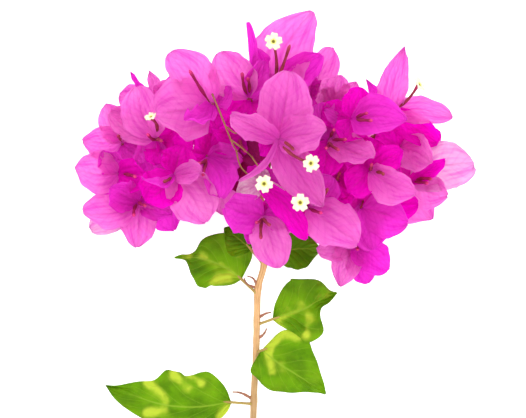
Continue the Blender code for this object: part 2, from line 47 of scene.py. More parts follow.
# centre line of the stem and its radius
stemRows = (
    (-10.5, -112.0, 1.9, 1.75),
    (-10.0, -100.5, 4.0, 1.70),
    (-9.5, -85.5, 8.0, 1.70),
    (-8.5, -64.5, 13.0, 1.65),
    (-8.0, -44.0, 17.0, 1.65),
    (-7.5, -32.5, 20.0, 1.65),
    (-4.5, -20.5, 27.0, 1.60),
    (-4.5, -5.5, 33.0, 1.55),
    (-6.0, 12.0, 37.0, 1.50),
    (-12.5, 28.0, 40.0, 1.40),
    (-19.5, 40.5, 42.0, 1.30),
    (-27.0, 52.0, 43.0, 1.15),
)

# dried stubs on the stem: foot, tip, radius and how far they curl
stubRows = {
    "low": ((-10.0, -90.5, 6.5), (-20.5, -86.2, 8.5), 0.95, 1.2),
    "middle": ((-8.2, -59.5, 14.0), (-2.9, -53.8, 17.0), 0.95, 0.9),
    "upper": ((-8.0, -48.5, 16.0), (-1.2, -44.8, 19.5), 0.95, -0.7),
    "curlLeft": ((-7.7, -33.0, 20.0), (-15.0, -28.3, 22.5), 0.8, -1.8),
    "curlMid": ((-7.6, -32.0, 20.5), (-12.3, -26.0, 25.0), 0.8, 1.6),
}

# bare twigs among the blooms: path and radius
twigRows = (
    (((-29.5, 63, 66), (-24.5, 51, 74), (-20, 39.5, 68), (-18, 36, 64)), 0.45),
    (((-20, 40.5, 68), (-14.5, 36.5, 64), (-10.5, 33, 58)), 0.42),
    (((-18, 36, 64), (-16, 28.5, 60), (-10.5, 22.5, 58)), 0.45),
    (((-10.5, 33, 58), (-5.5, 25.5, 62)), 0.45),
    (((-22.5, 47, 72), (-18.5, 44, 70), (-16, 45, 72)), 0.35),
)

# boughs: path, and the radii at foot and tip
boughRows = {
    "top": (((-19.5, 40.5, 42.0), (-13.0, 49.0, 41.0), (-4.0, 55.0, 39.0)), 1.1, 0.9),
    "top_left": (((-25.0, 49.0, 43.0), (-35.0, 51.0, 43.0), (-46.0, 49.0, 42.0)), 1.1, 0.9),
    "left": (((-12.5, 28.0, 40.0), (-34.0, 32.0, 37.0), (-57.0, 27.0, 36.0)), 1.2, 0.9),
    "inner": (((-9.5, 20.5, 38.5), (-20.0, 22.0, 43.0), (-32.0, 27.0, 46.0)), 1.1, 0.9),
    "front": (((-7.5, 16.0, 38.0), (-3.5, 23.0, 43.0), (-1.0, 34.0, 50.5)), 1.2, 0.9),
    "bottom": (((-4.5, -5.5, 33.0), (2.0, 1.0, 39.0), (7.0, 9.0, 46.0)), 1.1, 0.9),
    "right": (((-5.3, 4.0, 35.3), (18.0, 16.0, 37.0), (47.0, 21.0, 38.0)), 1.3, 0.9),
    "upper_right": (((-6.8, 14.0, 37.4), (10.0, 30.0, 39.0), (31.0, 46.0, 41.0)), 1.2, 0.9),
    "far_top": (((15.0, 34.5, 39.7), (34.0, 38.0, 36.0), (50.0, 43.0, 37.0)), 1.0, 0.9),
    "tail": (((18.0, 16.0, 37.0), (28.0, 6.0, 34.0), (37.0, -1.0, 32.0)), 1.0, 0.9),
    "under_right": (((-4.6, -2.0, 33.7), (5.0, 4.0, 30.0), (15.0, 10.0, 28.0)), 1.0, 0.9),
    "under_left": (((-8.5, 18.0, 38.0), (-13.0, 21.0, 33.0), (-17.0, 23.0, 29.0)), 1.0, 0.9),
}

# blooms: bough, foot, and the way each faces (bearing in plan, lean from straight up)
bloomRows = {
    "crown": ("top", (0, 65, 44), (78, 50)),
    "crown_right": ("top", (18, 63, 34), (65, 60)),
    "upper_left": ("top", (-12, 62, 54), (105, 25)),
    "left_top": ("top_left", (-30, 58, 60), (150, 25)),
    "left_star": ("top_left", (-57, 42, 56), (140, 30)),
    "left_edge": ("left", (-75, 40, 44), (165, 35)),
    "left_spike": ("top_left", (-59, 59, 38), (110, 50)),
    "far_left": ("left", (-76, 25, 44), (185, 20)),
    "lower_left": ("left", (-66, 11, 46), (225, 35)),
    "cup": ("inner", (-48, 24, 58), (250, 15)),
    "inner_left": ("inner", (-32, 33, 50), (300, 15)),
    "front_left": ("front", (-16, 44, 46), (170, 15)),
    "front": ("front", (2, 41, 68), (330, 12)),
    "pale_star": ("front", (-6, 20, 56), (270, 25)),
    "bottom": ("bottom", (-5, 4, 52), (262, 38)),
    "right_low": ("bottom", (17, 8, 60), (315, 22)),
    "mid_dark": ("bottom", (31, 22, 42), (10, 15)),
    "core_right": ("upper_right", (27, 41, 58), (0, 12)),
    "right_core": ("upper_right", (40, 33, 36), (0, 10)),
    "right_upper": ("upper_right", (38, 51, 62), (40, 20)),
    "top_right": ("upper_right", (32, 58, 42), (85, 50)),
    "spire": ("far_top", (56, 55, 50), (65, 25)),
    "right_mid": ("far_top", (63, 38, 44), (20, 45)),
    "right_cup": ("right", (47, 26, 60), (345, 22)),
    "far_right": ("right", (68, 21, 46), (355, 50)),
    "right_under": ("right", (44, 8, 48), (310, 40)),
    "tail": ("tail", (40, -9, 36), (280, 55)),
    "back_left": ("left", (-52, 20, 22), (200, 150)),
    "back_top_left": ("top_left", (-42, 48, 22), (120, 155)),
    "back_top": ("top", (-4, 55, 22), (80, 160)),
    "back_middle": ("under_left", (-20, 32, 22), (250, 165)),
    "back_right": ("upper_right", (32, 46, 22), (40, 155)),
    "back_low": ("under_right", (20, 14, 22), (280, 155)),
    "back_far": ("right", (56, 22, 22), (340, 145)),
}

# bracts of the blooms on top: tip, width, roll in degrees, bend aside as a share of the length,
# tint (pale tints partly painted light, deep ones partly painted shade), and how pointed they are
laidBracts = {
    "crown": (
        (-9, 85, 58, 12.5, 20, 0.05, 2, 0.5), (18, 102.5, 64, 29, -6, 0.09, 1, 0.75),
        (23, 82.5, 60, 16.5, 10, 0, 2, 0.55)),
    "crown_right": (
        (13, 73, 46, 16, 0, 0, 2, 0.55), (29, 86, 50, 16.5, 0, 0, 1, 0.5),
        (33.5, 65.5, 44, 15, 0, 0, 2, 0.5)),
    "upper_left": (
        (-24, 50, 56, 19.5, 0, 0, 3, 0.55), (-26, 82.5, 66, 22, -18, 0, 1, 0.55),
        (-4.5, 79, 62, 12.5, 25, 0, 2, 0.5), (-12.5, 97.5, 70, 4.5, 20, -0.1, 2, 0.35)),
    "left_top": (
        (-49.5, 83.5, 68, 21, -8, -0.06, 1, 0.5), (-55.5, 53.5, 78, 31.5, 14, 0, 1, 0.55),
        (-40.5, 51.5, 84, 11.5, 30, 0.1, 2, 0.5)),
    "left_star": (
        (-40, 35, 52, 16.5, 0, 0, 3, 0.5), (-62.5, 24.5, 48, 17, 0, 0, 2, 0.6),
        (-80, 55, 54, 17.5, 10, 0, 1, 0.55), (-66.5, 66, 66, 21, -8, 0.08, 1, 0.5)),
    "left_spike": (
        (-76, 64.5, 44, 15, 0, 0, 1, 0.5), (-61, 75.5, 48, 8.5, 20, -0.1, 1, 1.0),
        (-70.5, 75.5, 46, 5, 30, 0, 2, 1.0), (-51.5, 71, 46, 9, 0, 0, 1, 0.6)),
    "left_edge": (
        (-64, 30.5, 56, 14.5, 0, 0, 2, 0.6), (-81.5, 58.5, 54, 15.5, 8, 0, 1, 0.6),
        (-92, 40, 58, 16.5, -8, 0, 1, 0.65)),
    "far_left": (
        (-80, 10, 50, 16.5, 0, 0, 2, 0.5), (-83, 35.5, 54, 13.5, -15, 0, 2, 0.6),
        (-96.5, 27.5, 58, 21.5, 8, 0.06, 1, 0.6), (-61.5, 23.5, 62, 16.5, 12, 0, 3, 0.5)),
    "lower_left": (
        (-90, -3, 48, 14, 0, 0, 0, 0.5), (-50, 5.5, 56, 13, 0, 0, 2, 0.65),
        (-66.5, -11, 54, 18.5, -6, 0, 1, 0.7), (-92, 5.5, 62, 18.5, 10, 0.08, 1, 0.5),
        (-79, 16.5, 66, 16.5, -10, 0, 2, 0.5)),
    "cup": (
        (-44.5, 38, 60, 17.5, 10, 0, 3, 0.5), (-61, 10.5, 68, 22, 12, 0, 3, 0.5),
        (-32, 2, 71, 24, -8, 0.03, 1, 0.52), (-35.5, 26, 76, 12.5, -25, 0, 1, 0.5),
        (-62.5, 22, 82, 7, 45, 0.12, 2, 0.5)),
    "inner_left": (
        (-39.5, 16, 58, 14.5, 0, 0, 3, 0.5), (-16, 31.5, 58, 15.5, 0, 0, 2, 0.55),
        (-25, 14, 70, 18, -16, 0.1, 2, 0.6)),
    # two bracts here take tint 5, painted shade: they lie low under the twigs
    "front_left": (
        (-16.5, 16, 48, 17.5, 0, 0, 5, 0.5), (-29.5, 47, 58, 12.5, 0, 0, 3, 0.5),
        (-5.5, 29.5, 54, 13.5, 0, 0, 5, 0.5), (-24, 28.5, 50, 14, 0, 0, 3, 0.5),
        (-30, 37.5, 54, 14.5, 0, 0, 3, 0.6)),
    "front": (
        (7, 72, 84, 26.5, 0, -0.03, 1, 0.5), (23, 9.5, 82, 20, 8, -0.03, 1, 0.75),
        (23.5, 45, 88, 20, -18, 0, 1, 0.55), (-19.5, 50.5, 90, 13.5, -26, 0.02, 1, 0.5),
        (-16.5, 21, 84, 3.5, 20, 0.1, 1, 0.5)),
    "pale_star": (
        (-5.5, 27.5, 56, 8, 0, 0, 4, 0.5), (-17.5, 14.5, 61, 11.5, 0, 0, 4, 0.55),
        (7, 12.5, 60, 7.5, 0, 0, 4, 0.6), (16, -6.5, 74, 11.5, 12, 0.04, 3, 0.5)),
    "bottom": (
        (-12.5, -9, 56, 12.5, 8, 0, 2, 0.8), (12, 1, 58, 12.5, 0, 0, 2, 0.5),
        (-22.5, 8.5, 70, 21, -10, 0.05, 2, 0.55), (2.5, -20.5, 64, 19.5, 0, 0, 1, 0.55)),
    "right_low": (
        (13, -5.5, 60, 13.5, 0, 0, 3, 0.5), (28.5, 23, 66, 17.5, 10, 0, 2, 0.5),
        (40, -7.5, 78, 24, -16, 0, 1, 0.58)),
    "mid_dark": (
        (37.5, 11, 56, 16.5, 0, 0, 3, 0.5), (23, 32.5, 54, 16.5, 0, 0, 3, 0.5),
        (39.5, 28.5, 54, 16.5, 0, 0, 3, 0.5)),
    "core_right": (
        (16, 55, 54, 12.5, 0, 0, 2, 0.5), (22.5, 59, 60, 15.5, 8, 0, 2, 0.55),
        (24.5, 23.5, 64, 17.5, 0, 0, 3, 0.5), (47.5, 32.5, 78, 17, -24, 0, 1, 0.6)),
    "right_core": (
        (39, 46.5, 46, 18, 0, 0, 3, 0.5), (53.5, 36.5, 48, 17, 0, 0, 3, 0.5),
        (33, 21, 46, 18, 0, 0, 3, 0.5)),
    "right_upper": (
        (23.5, 55.5, 60, 14.5, 0, 0, 3, 0.5), (36, 40, 68, 15.5, 0, 0, 3, 0.55),
        (42, 66, 68, 14.5, 8, 0, 3, 0.55), (61.5, 50.5, 82, 21, -16, 0.06, 2, 0.75)),
    "top_right": (
        (23.5, 65.5, 54, 13.5, 0, 0, 1, 0.5), (40, 68, 58, 10.5, 0, 0, 1, 0.55),
        (31.5, 72, 62, 15.5, -6, 0.08, 1, 0.5)),
    "spire": (
        (80.5, 40, 58, 14.5, 0, 0, 3, 0.55), (45.5, 71, 54, 7, 0, 0, 2, 1.0),
        (86.5, 52, 62, 13.5, 10, 0.07, 1, 0.6), (63, 85, 66, 15, -8, 0.02, 1, 0.95)),
    "right_mid": (
        (81.5, 44, 54, 13.5, 0, 0, 3, 0.5), (51.5, 45, 58, 16.5, 0, 0, 3, 0.5),
        (75, 30, 68, 18.5, 10, 0.05, 1, 0.48)),
    "right_cup": (
        (49, 41, 62, 15.5, 0, 0, 3, 0.5), (36, 16, 68, 15.5, 0, 0, 3, 0.5),
        (61, 35, 74, 13.5, -8, 0.04, 3, 0.55), (66.5, 15.5, 80, 18, 16, -0.1, 1, 0.52)),
    "far_right": (
        (84, 15, 58, 17.5, 8, -0.12, 1, 0.55), (96, 30, 62, 24.5, -6, 0.08, 0, 0.42),
        (82, 30.5, 70, 8.5, 0, 0, 3, 0.6)),
    "right_under": (
        (70.5, 10, 56, 16.5, 0, 0, 3, 0.5), (49, -11.5, 56, 19.5, 0, 0, 2, 0.5),
        (64, 1, 64, 22.5, 16, 0, 2, 0.6)),
    "tail": (
        (21.5, -12, 48, 16, -8, 0, 1, 0.55), (46.5, -29.5, 42, 15, 0, 0, 2, 0.55),
        (33, -30, 46, 16, 0, 0, 1, 0.75), (57, -22, 50, 17.5, 8, 0, 2, 0.5)),
}

# bracts of the blooms underneath: way in plan, opening from the bloom's axis, length and tint
openBracts = {
    "back_left": ((156, 50, 34, 1), (276, 52, 33, 2), (30, 48, 34, 1)),
    "back_top_left": ((90, 52, 34, 1), (210, 50, 34, 1), (330, 50, 34, 2)),
    "back_top": ((30, 52, 34, 1), (150, 50, 34, 2), (270, 50, 34, 1)),
    "back_middle": ((70, 52, 34, 1), (190, 50, 30, 2), (310, 50, 28, 1)),
    "back_right": ((20, 52, 34, 1), (140, 50, 34, 2), (260, 50, 34, 1)),
    "back_low": ((30, 52, 34, 1), (150, 50, 34, 1), (270, 50, 34, 2)),
    "back_far": ((60, 52, 34, 2), (180, 50, 34, 1), (300, 50, 34, 1)),
}

# tips of the closed flowers
tubeTips = {
    "crown": ((8, 86.5, 70),), "upper_left": ((-15, 73, 72), (-12.5, 70.5, 70)),
    "left_top": ((-40, 73.5, 80),), "left_star": ((-60.5, 43.5, 72), (-53.5, 40, 74)),
    "cup": ((-52.5, 20.5, 74),), "inner_left": ((-34, 23.5, 66), (-36.5, 29.5, 64)),
    "far_left": ((-66.5, 23, 66),), "left_edge": ((-75.5, 43, 60),),
    "lower_left": ((-67.5, 4, 64), (-61.5, 9, 66)), "front": ((9.5, 35.5, 82),),
    "bottom": ((-6, -7, 68), (-8.5, 1, 66), (-1.5, -0.5, 66)),
    "right_low": ((23, 5.5, 80), (26, 17.5, 76)),
    "core_right": ((29, 45.5, 74), (25, 36.5, 74), (31.5, 35.5, 76), (34.5, 40.5, 80)),
    "right_upper": ((44.5, 53, 80), (47, 49.5, 80)), "right_cup": ((52.5, 24, 76), (47, 29, 74)),
    "far_right": ((76.5, 22, 64), (75, 20, 62)), "tail": ((41.5, -12.5, 50), (45.5, -12, 50)),
    "front_left": ((-13.5, 35, 60),), "mid_dark": ((32.5, 25.5, 58),),
}

# open flowers: the place of the star, the way it faces and its size
openFlowers = {
    "crown": ((0.0, 88.0, 70.0), (0.1, 0.1, 1), 1),
    "left_star": ((-58.5, 51.5, 74.0), (-0.3, 0.8, 0.6), 0.72),
    "pale_star": ((-4.5, 19.5, 78.0), (0, -0.1, 1), 1),
    "front": ((17.5, 29.0, 88.0), (0.4, -0.1, 0.9), 1),
    "spire": ((70.5, 67.5, 66.0), (0.7, 0.4, 0.5), 0.9),
    "right_low": ((12.5, 10.5, 88.0), (0, 0, 1), 1),
}

# yellow streaks on each leaf, and dark ones of negative strength, which are painted shade: a line in plan,
# width, strength
leafStreaks = {
    "low_left": (
        (-64.1, -82.4, -54.8, -90.1, 2.6, 1), (-50.7, -77.3, -43.5, -84.0, 2.8, 1),
        (-42.5, -77.3, -36.9, -81.4, 2.2, 1), (-64.1, -97.3, -56.9, -95.3, 3.2, 0.9),
        (-26.6, -99.4, -23.5, -94.8, 2.8, 0.8), (-34.3, -96.8, -47.7, -97.8, 2.0, -0.7),
        (-79.5, -88.6, -70.8, -91.7, 3.5, -0.5),
    ),
    "low_right": (
        (-0.9, -60.8, 10.8, -54.7, 3.4, 1.1), (6.7, -54.2, 11.8, -58.3, 2.6, 0.9),
        (-2.5, -63.9, -0.9, -75.1, 2.8, 1), (4.7, -71.5, 5.2, -74.6, 2.0, 0.6),
        (5.2, -62.9, 13.9, -65.4, 3, -0.5), (-9.1, -67.5, -7.5, -64.4, 2.2, -0.6),
    ),
    "high_right": (
        (14.8, -40.7, 19.4, -47.3, 2.4, 1), (17.9, -47.8, 16.8, -56.0, 2.4, 0.9),
        (21.9, -37.2, 27.5, -34.6, 2.8, 0.7), (1.6, -49.4, 13.3, -43.8, 1.4, 0.7),
        (3.1, -50.9, 5.7, -52.9, 2.0, 0.7), (8.2, -29.6, 19.9, -34.6, 5, -0.5),
        (6.7, -40.2, 7.7, -42.8, 1.6, 0.5), (10.7, -53.9, 22.9, -51.9, 2.2, -0.6),
    ),
    "high_left": (
        (-22.3, -10.8, -18.2, -13.8, 3.2, 1.1), (-35.0, -15.9, -29.9, -20.5, 2.6, 0.9),
        (-26.3, -19.9, -17.7, -27.1, 1.2, 0.7), (-30.4, -29.1, -22.3, -27.1, 2.6, 1),
        (-46.2, -16.9, -42.6, -16.4, 1.8, 0.6), (-37.0, -7.2, -27.9, -9.8, 5, -0.4),
        (-39.1, -22.5, -34.0, -24.5, 3, -0.5),
    ),
    "behind_left": ((-20.6, -4.1, -11.5, -11.1, 6, -0.9),),
    "behind_right": ((8.6, -8.1, 18.7, -19.2, 9, -0.9),),
}

# leaves: foot of the stalk, midrib, half widths left and right of it by shares of its length, and
# how far the halves fold up, in degrees
leafRows = {
    "low_left": (
        (-9.7, -93.0, 6.5),
        ((-21.5, -91.9, 9), (-38.5, -94, 12), (-56.5, -92.9, 11), (-73.5, -87.8, 7.5),
         (-86.4, -83.7, 4)),
        ((0, 0.5), (0.04, 4.6), (0.15, 8.8), (0.3, 10.8), (0.45, 11.3), (0.6, 9.8), (0.75, 8),
         (0.9, 4.8), (1, 0.3)),
        ((0, 0.5), (0.03, 8.5), (0.12, 16.9), (0.2, 18.3), (0.3, 16.4), (0.36, 16.2), (0.42, 18.4),
         (0.56, 17.6), (0.64, 11.4), (0.75, 8), (0.9, 2.4), (1, 0.3)),
        10,
    ),
    "low_right": (
        (-8.6, -66.0, 12.5),
        ((-5.5, -64.6, 16), (3.7, -71.7, 17.5), (14.9, -78.9, 15.5), (27.2, -87.5, 10)),
        ((0, 2), (0.03, 13.5), (0.15, 18), (0.3, 19.6), (0.44, 17.8), (0.54, 14.9), (0.64, 11.6),
         (0.75, 8.3), (0.88, 4.4), (1, 0.3)),
        ((0, 2), (0.03, 11), (0.15, 12.5), (0.25, 13.7), (0.39, 12.7), (0.6, 9), (0.76, 5),
         (0.94, 1.2), (1, 0.3)),
        14,
    ),
    "high_right": (
        (-8.0, -51.5, 15.5),
        ((0.1, -48.5, 19), (7.2, -45.9, 21.5), (15.4, -43.4, 22), (23, -39.3, 20.5),
         (32.7, -35.3, 17)),
        ((0, 0.5), (0.08, 5.6), (0.18, 10), (0.34, 15.6), (0.48, 16.7), (0.6, 15.2), (0.75, 11.4),
         (0.85, 8), (0.91, 3), (1, 0.3)),
        ((0, 0.5), (0.06, 3.9), (0.18, 8.5), (0.3, 12.4), (0.38, 16.2), (0.48, 16.5), (0.56, 13.6),
         (0.61, 7.2), (0.7, 3.8), (0.83, 2.8), (1, 0.3)),
        16,
    ),
    "high_left": (
        (-7.6, -36.0, 19.5),
        ((-16, -28.1, 21), (-23.8, -22.5, 23), (-32.9, -18.4, 22.5), (-41.1, -16.9, 19),
         (-50.2, -17.4, 15)),
        ((0, 0.5), (0.05, 4.6), (0.15, 8.6), (0.256, 10.4), (0.33, 11.2), (0.4, 14), (0.53, 13.8),
         (0.64, 12.2), (0.75, 8.6), (0.8, 4.4), (0.86, 1.5), (1, 0.3)),
        ((0, 0.5), (0.05, 11), (0.15, 16), (0.256, 18.5), (0.4, 16.5), (0.53, 13.7), (0.64, 9.1),
         (0.7, 3.6), (0.78, 1.5), (0.9, 1.3), (1, 0.3)),
        9,
    ),
    "behind_left": (
        (-5.0, -20.0, 26.0),
        ((-11, -13, 28), (-15.5, -9, 29), (-20, -5.5, 28), (-24.5, -2, 26)),
        ((0, 0.5), (0.08, 5), (0.25, 8.5), (0.45, 9), (0.7, 6), (1, 0.3)),
        ((0, 0.5), (0.08, 5), (0.25, 8.5), (0.45, 9), (0.7, 6), (1, 0.3)),
        14,
    ),
    "behind_right": (
        (-4.5, -18.0, 27.5),
        ((1.5, -14.2, 24), (9, -13, 24.5), (17, -12.6, 22.5), (25, -13.2, 18)),
        ((0, 0.5), (0.1, 5), (0.3, 8), (0.5, 8), (0.7, 6), (0.9, 2), (1, 0.3)),
        ((0, 0.5), (0.05, 4.5), (0.15, 8.2), (0.3, 9.7), (0.5, 10.3), (0.7, 8.3), (0.85, 4),
         (0.95, 1.4), (1, 0.3)),
        14,
    ),
}


def direction(bearing, lean):  # unit vector that leans from straight up towards a bearing in plan
    b, t = math.radians(bearing), math.radians(lean)
    return np.array((math.sin(t) * math.cos(b), math.sin(t) * math.sin(b), math.cos(t)))


def unit(vectors):
    return vectors / np.linalg.norm(vectors, axis=-1, keepdims=True)


def turnTo(axis):  # matrix of the shortest turn from straight up to the axis
    return np.array(Vector((0, 0, 1)).rotation_difference(Vector(axis)).to_matrix())


def spinBy(degrees):  # matrix of a turn about straight up
    return np.array(Matrix.Rotation(math.radians(degrees), 3, "Z"))


def grid(along, across):  # u runs from 0 to 1 along a blade, v from -1 to 1 across it
    return np.meshgrid(np.linspace(0, 1, along), np.linspace(-1, 1, across), indexing="ij")


def bladeMap(u, v):
    return np.stack((u, (v + 1) / 2), -1)


# A smooth curve through the given points: each stretch is the Catmull-Rom cubic of the four
# points round it.
def smoothPath(points, steps):
    points = np.asarray(points, float)
    ends = np.vstack((2 * points[0] - points[1], points, 2 * points[-1] - points[-2]))
    t = np.linspace(0, 1, steps, endpoint=False)[:, None]
    spans = [
        0.5 * (2 * b + (c - a) * t + (2 * a - 5 * b + 4 * c - d) * t**2 + (3 * b - a - 3 * c + d) * t**3)
        for a, b, c, d in zip(ends, ends[1:], ends[2:], ends[3:])
    ]
    return np.vstack((*spans, points[-1]))


# A sum of sine ripples of random heading, each one finer and lower than the last.
def crumple(u, v, rng, waves, pitch):
    total = np.zeros_like(u)
    for number in range(waves):
        heading, start = rng.uniform(0, 2 * math.pi, 2)
        turns = pitch * (1 + 0.7 * number)
        total += np.sin(turns * (u * math.cos(heading) + v * math.sin(heading)) + start) / (1 + number)
    return total / waves


# A profile carried along a path: a ring of the given radius round each point, square to the path.
# relief(u, angle) multiplies the radius. Both ends are closed: their points come once more, a
# hair further out, with radius 0.
def tubePatch(path, radii, sides, depth=0.0, relief=None):
    path = np.asarray(path, float)
    nudge = 1e-3 * unit(np.array((path[0] - path[1], path[-1] - path[-2])))
    path = np.vstack((path[0] + nudge[0], path, path[-1] + nudge[1]))
    run = unit(np.gradient(path, axis=0))
    first = unit(np.cross(run, np.eye(3)[np.abs(run).mean(0).argmin()]))
    second = np.cross(run, first)
    u = np.linspace(0, 1, len(path))[:, None]
    angle = np.linspace(0, 2 * math.pi, sides + 1)[None, :]
    radius = np.concatenate(([0], radii, [0]))[:, None] * np.ones_like(angle)
    if relief:
        radius = radius * relief(u, angle)
    ring = np.cos(angle)[..., None] * first[:, None] + np.sin(angle)[..., None] * second[:, None]
    points = path[:, None] + radius[..., None] * ring
    return points, np.stack(np.broadcast_arrays(u, angle / (2 * math.pi)), -1), 0, depth


mending = {"merge": 2e-6, "sliver": 1e-7}  # metres: corners nearer than this become one


# One object from several grid surfaces. Each patch is its points, its UV, its material's number and
# how deep its tone is, from 0 to 1.
def makePiece(name, patches, materials, nodes, thickness=0.0):
    corners, faces, maps, numbers, depths, start = [], [], [], [], [], 0
    for points, uv, number, depth in patches:
        rows, columns = points.shape[:2]
        index = start + np.arange(rows * columns).reshape(rows, columns)
        quads = np.stack((index[:-1, :-1], index[:-1, 1:], index[1:, 1:], index[1:, :-1]), -1).reshape(-1, 4)
        corners.append((points.reshape(-1, 3) - layoutOrigin) * millimetre)
        faces.append(quads)
        maps.append(uv.reshape(-1, 2))
        numbers.append(np.full(len(quads), number))
        depths.append(np.broadcast_to(depth, (rows, columns)).ravel())
        start += rows * columns
    corners, faces, maps = np.concatenate(corners), np.concatenate(faces), np.concatenate(maps)
    mesh = bpy.data.meshes.new(name)
    mesh.vertices.add(len(corners))
    mesh.vertices.foreach_set("co", corners.ravel())
    mesh.loops.add(faces.size)
    mesh.loops.foreach_set("vertex_index", faces.ravel())
    mesh.polygons.add(len(faces))
    mesh.polygons.foreach_set("loop_start", np.arange(0, faces.size, 4))
    mesh.polygons.foreach_set("material_index", np.concatenate(numbers).astype(np.int32))
    mesh.update(calc_edges=True)
    layer = mesh.uv_layers.new(name="bladeMap")
    layer.uv.foreach_set("vector", maps[faces.ravel()].astype(np.float32).ravel())
    tone = mesh.attributes.new("toneDepth", "FLOAT", "POINT")
    tone.data.foreach_set("value", np.concatenate(depths).astype(np.float32))
    for material in materials:
        mesh.materials.append(material)
    mended = bmesh.new()  # seams and poles are closed here
    mended.from_mesh(mesh)
    bmesh.ops.remove_doubles(mended, verts=mended.verts, dist=mending["merge"])
    bmesh.ops.dissolve_degenerate(mended, edges=mended.edges, dist=mending["sliver"])
    mended.to_mesh(mesh)
    mended.free()
    mesh.shade_smooth()
    piece = bpy.data.objects.new(name, mesh)
    bpy.context.scene.collection.objects.link(piece)
    if thickness:
        wall = piece.modifiers.new("thickness", "SOLIDIFY")
        wall.thickness = thickness * millimetre
        wall.offset = 0.0
    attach(piece, "root")
    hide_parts(*nodes)


# every bloom keeps about to the space nearer to its own middle than to any other's
room = {
    "ahead": 4.0,  # the middle lies this far in front of the foot
    "flatness": 2.4,  # heights count this many times over
    "margin": -3.0,  # bracts may reach this far past the wall
    "underMargin": -7.0,  # and those of the tiers behind
    "behind": 4.0,  # this far behind the foot is a wall too
    "floor": 0.3,  # and so is this height
    "sharpness": 5,  # power of the mean in crowding
    "overreach": 1.6,  # a bract whose crowding goes past this is shortened
}


def roomWalls(name, margin):
    foot, axis = np.array(bloomRows[name][1], float), direction(*bloomRows[name][2])
    normals, offsets = [(0, 0, -1), -axis], [-room["floor"], room["behind"] - foot @ axis]
    for other, row in bloomRows.items():
        if other != name:
            across = np.array(row[1]) + room["ahead"] * direction(*row[2]) - foot - room["ahead"] * axis
            normal = unit(across * (1, 1, room["flatness"] ** 2))
            normals.append(normal)
            offsets.append(normal @ (foot + room["ahead"] * axis + across / 2) - margin)
    return foot, np.array(normals), np.array(offsets)


# How near a point is to the walls as seen from the foot: a high power mean of its shares of the
# way to each wall, 0 at the foot and 1 on a wall.
def crowding(points, walls):
    foot, normals, offsets = walls
    ahead = np.maximum((points - foot) @ normals.T, 0) / (offsets - normals @ foot)
    return (ahead ** room["sharpness"]).sum(-1) ** (1 / room["sharpness"])


# Draws points back towards the foot, ever more the nearer they come to a wall.
def press(points, walls):
    m = room["sharpness"]
    return walls[0] + (points - walls[0]) / (1 + crowding(points, walls) ** m)[..., None] ** (1 / m)


def addNode(tree, kind, inputs=(), **settings):
    node = tree.nodes.new("ShaderNode" + kind)
    for key, value in settings.items():
        setattr(node, key, value)
    for key, value in dict(inputs).items():
        if isinstance(value, bpy.types.NodeSocket):
            tree.links.new(value, node.inputs[key])
        else:
            node.inputs[key].default_value = value
    return node


def maths(tree, operation, *values):
    return addNode(tree, "Math", dict(enumerate(values)), operation=operation).outputs[0]


def ramp(tree, value, low, high):  # 0 below low, 1 above high, smooth between
    inputs = {"Value": value, "From Min": low, "From Max": high}
    return addNode(tree, "MapRange", inputs, interpolation_type="SMOOTHSTEP").outputs["Result"]


def fading(tree, value, low, high):  # 1 below low, 0 above high
    return maths(tree, "SUBTRACT", 1.0, ramp(tree, value, low, high))


def blend(tree, factor, first, second, kind="MIX"):
    inputs = {0: factor, 6: first, 7: second}  # numbers, because sockets of this node share names
    for number in (6, 7):
        if not isinstance(inputs[number], bpy.types.NodeSocket):
            inputs[number] = (*inputs[number], 1.0)
    return addNode(tree, "Mix", inputs, data_type="RGBA", blend_type=kind).outputs[2]


def noise(tree, place, **settings):
    return addNode(tree, "TexNoise", {"Vector": place, **settings}).outputs[0]


def newGroup(name, inputs, outputs):
    tree = bpy.data.node_groups.new(name, "ShaderNodeTree")
    for label, kind, default in inputs:
        socket = tree.interface.new_socket(label, in_out="INPUT", socket_type="NodeSocket" + kind)
        if default is not None:
            socket.default_value = default
    for label in outputs:
        tree.interface.new_socket(label, in_out="OUTPUT", socket_type="NodeSocketFloat")
    return tree, tree.nodes.new("NodeGroupInput").outputs, tree.nodes.new("NodeGroupOutput").inputs


veinLook = {
    "bend": 0.8,  # power of the distance from the midrib in a side vein's sweep
    "stagger": 0.45,  # the side veins of one half start this much of a step before the other's
    "midribWidth": (0.008, 0.05),
    "midribFade": (0.55, 1.0),
    "marginFade": (0.7, 1.0),
    "netWidth": 0.12,
}


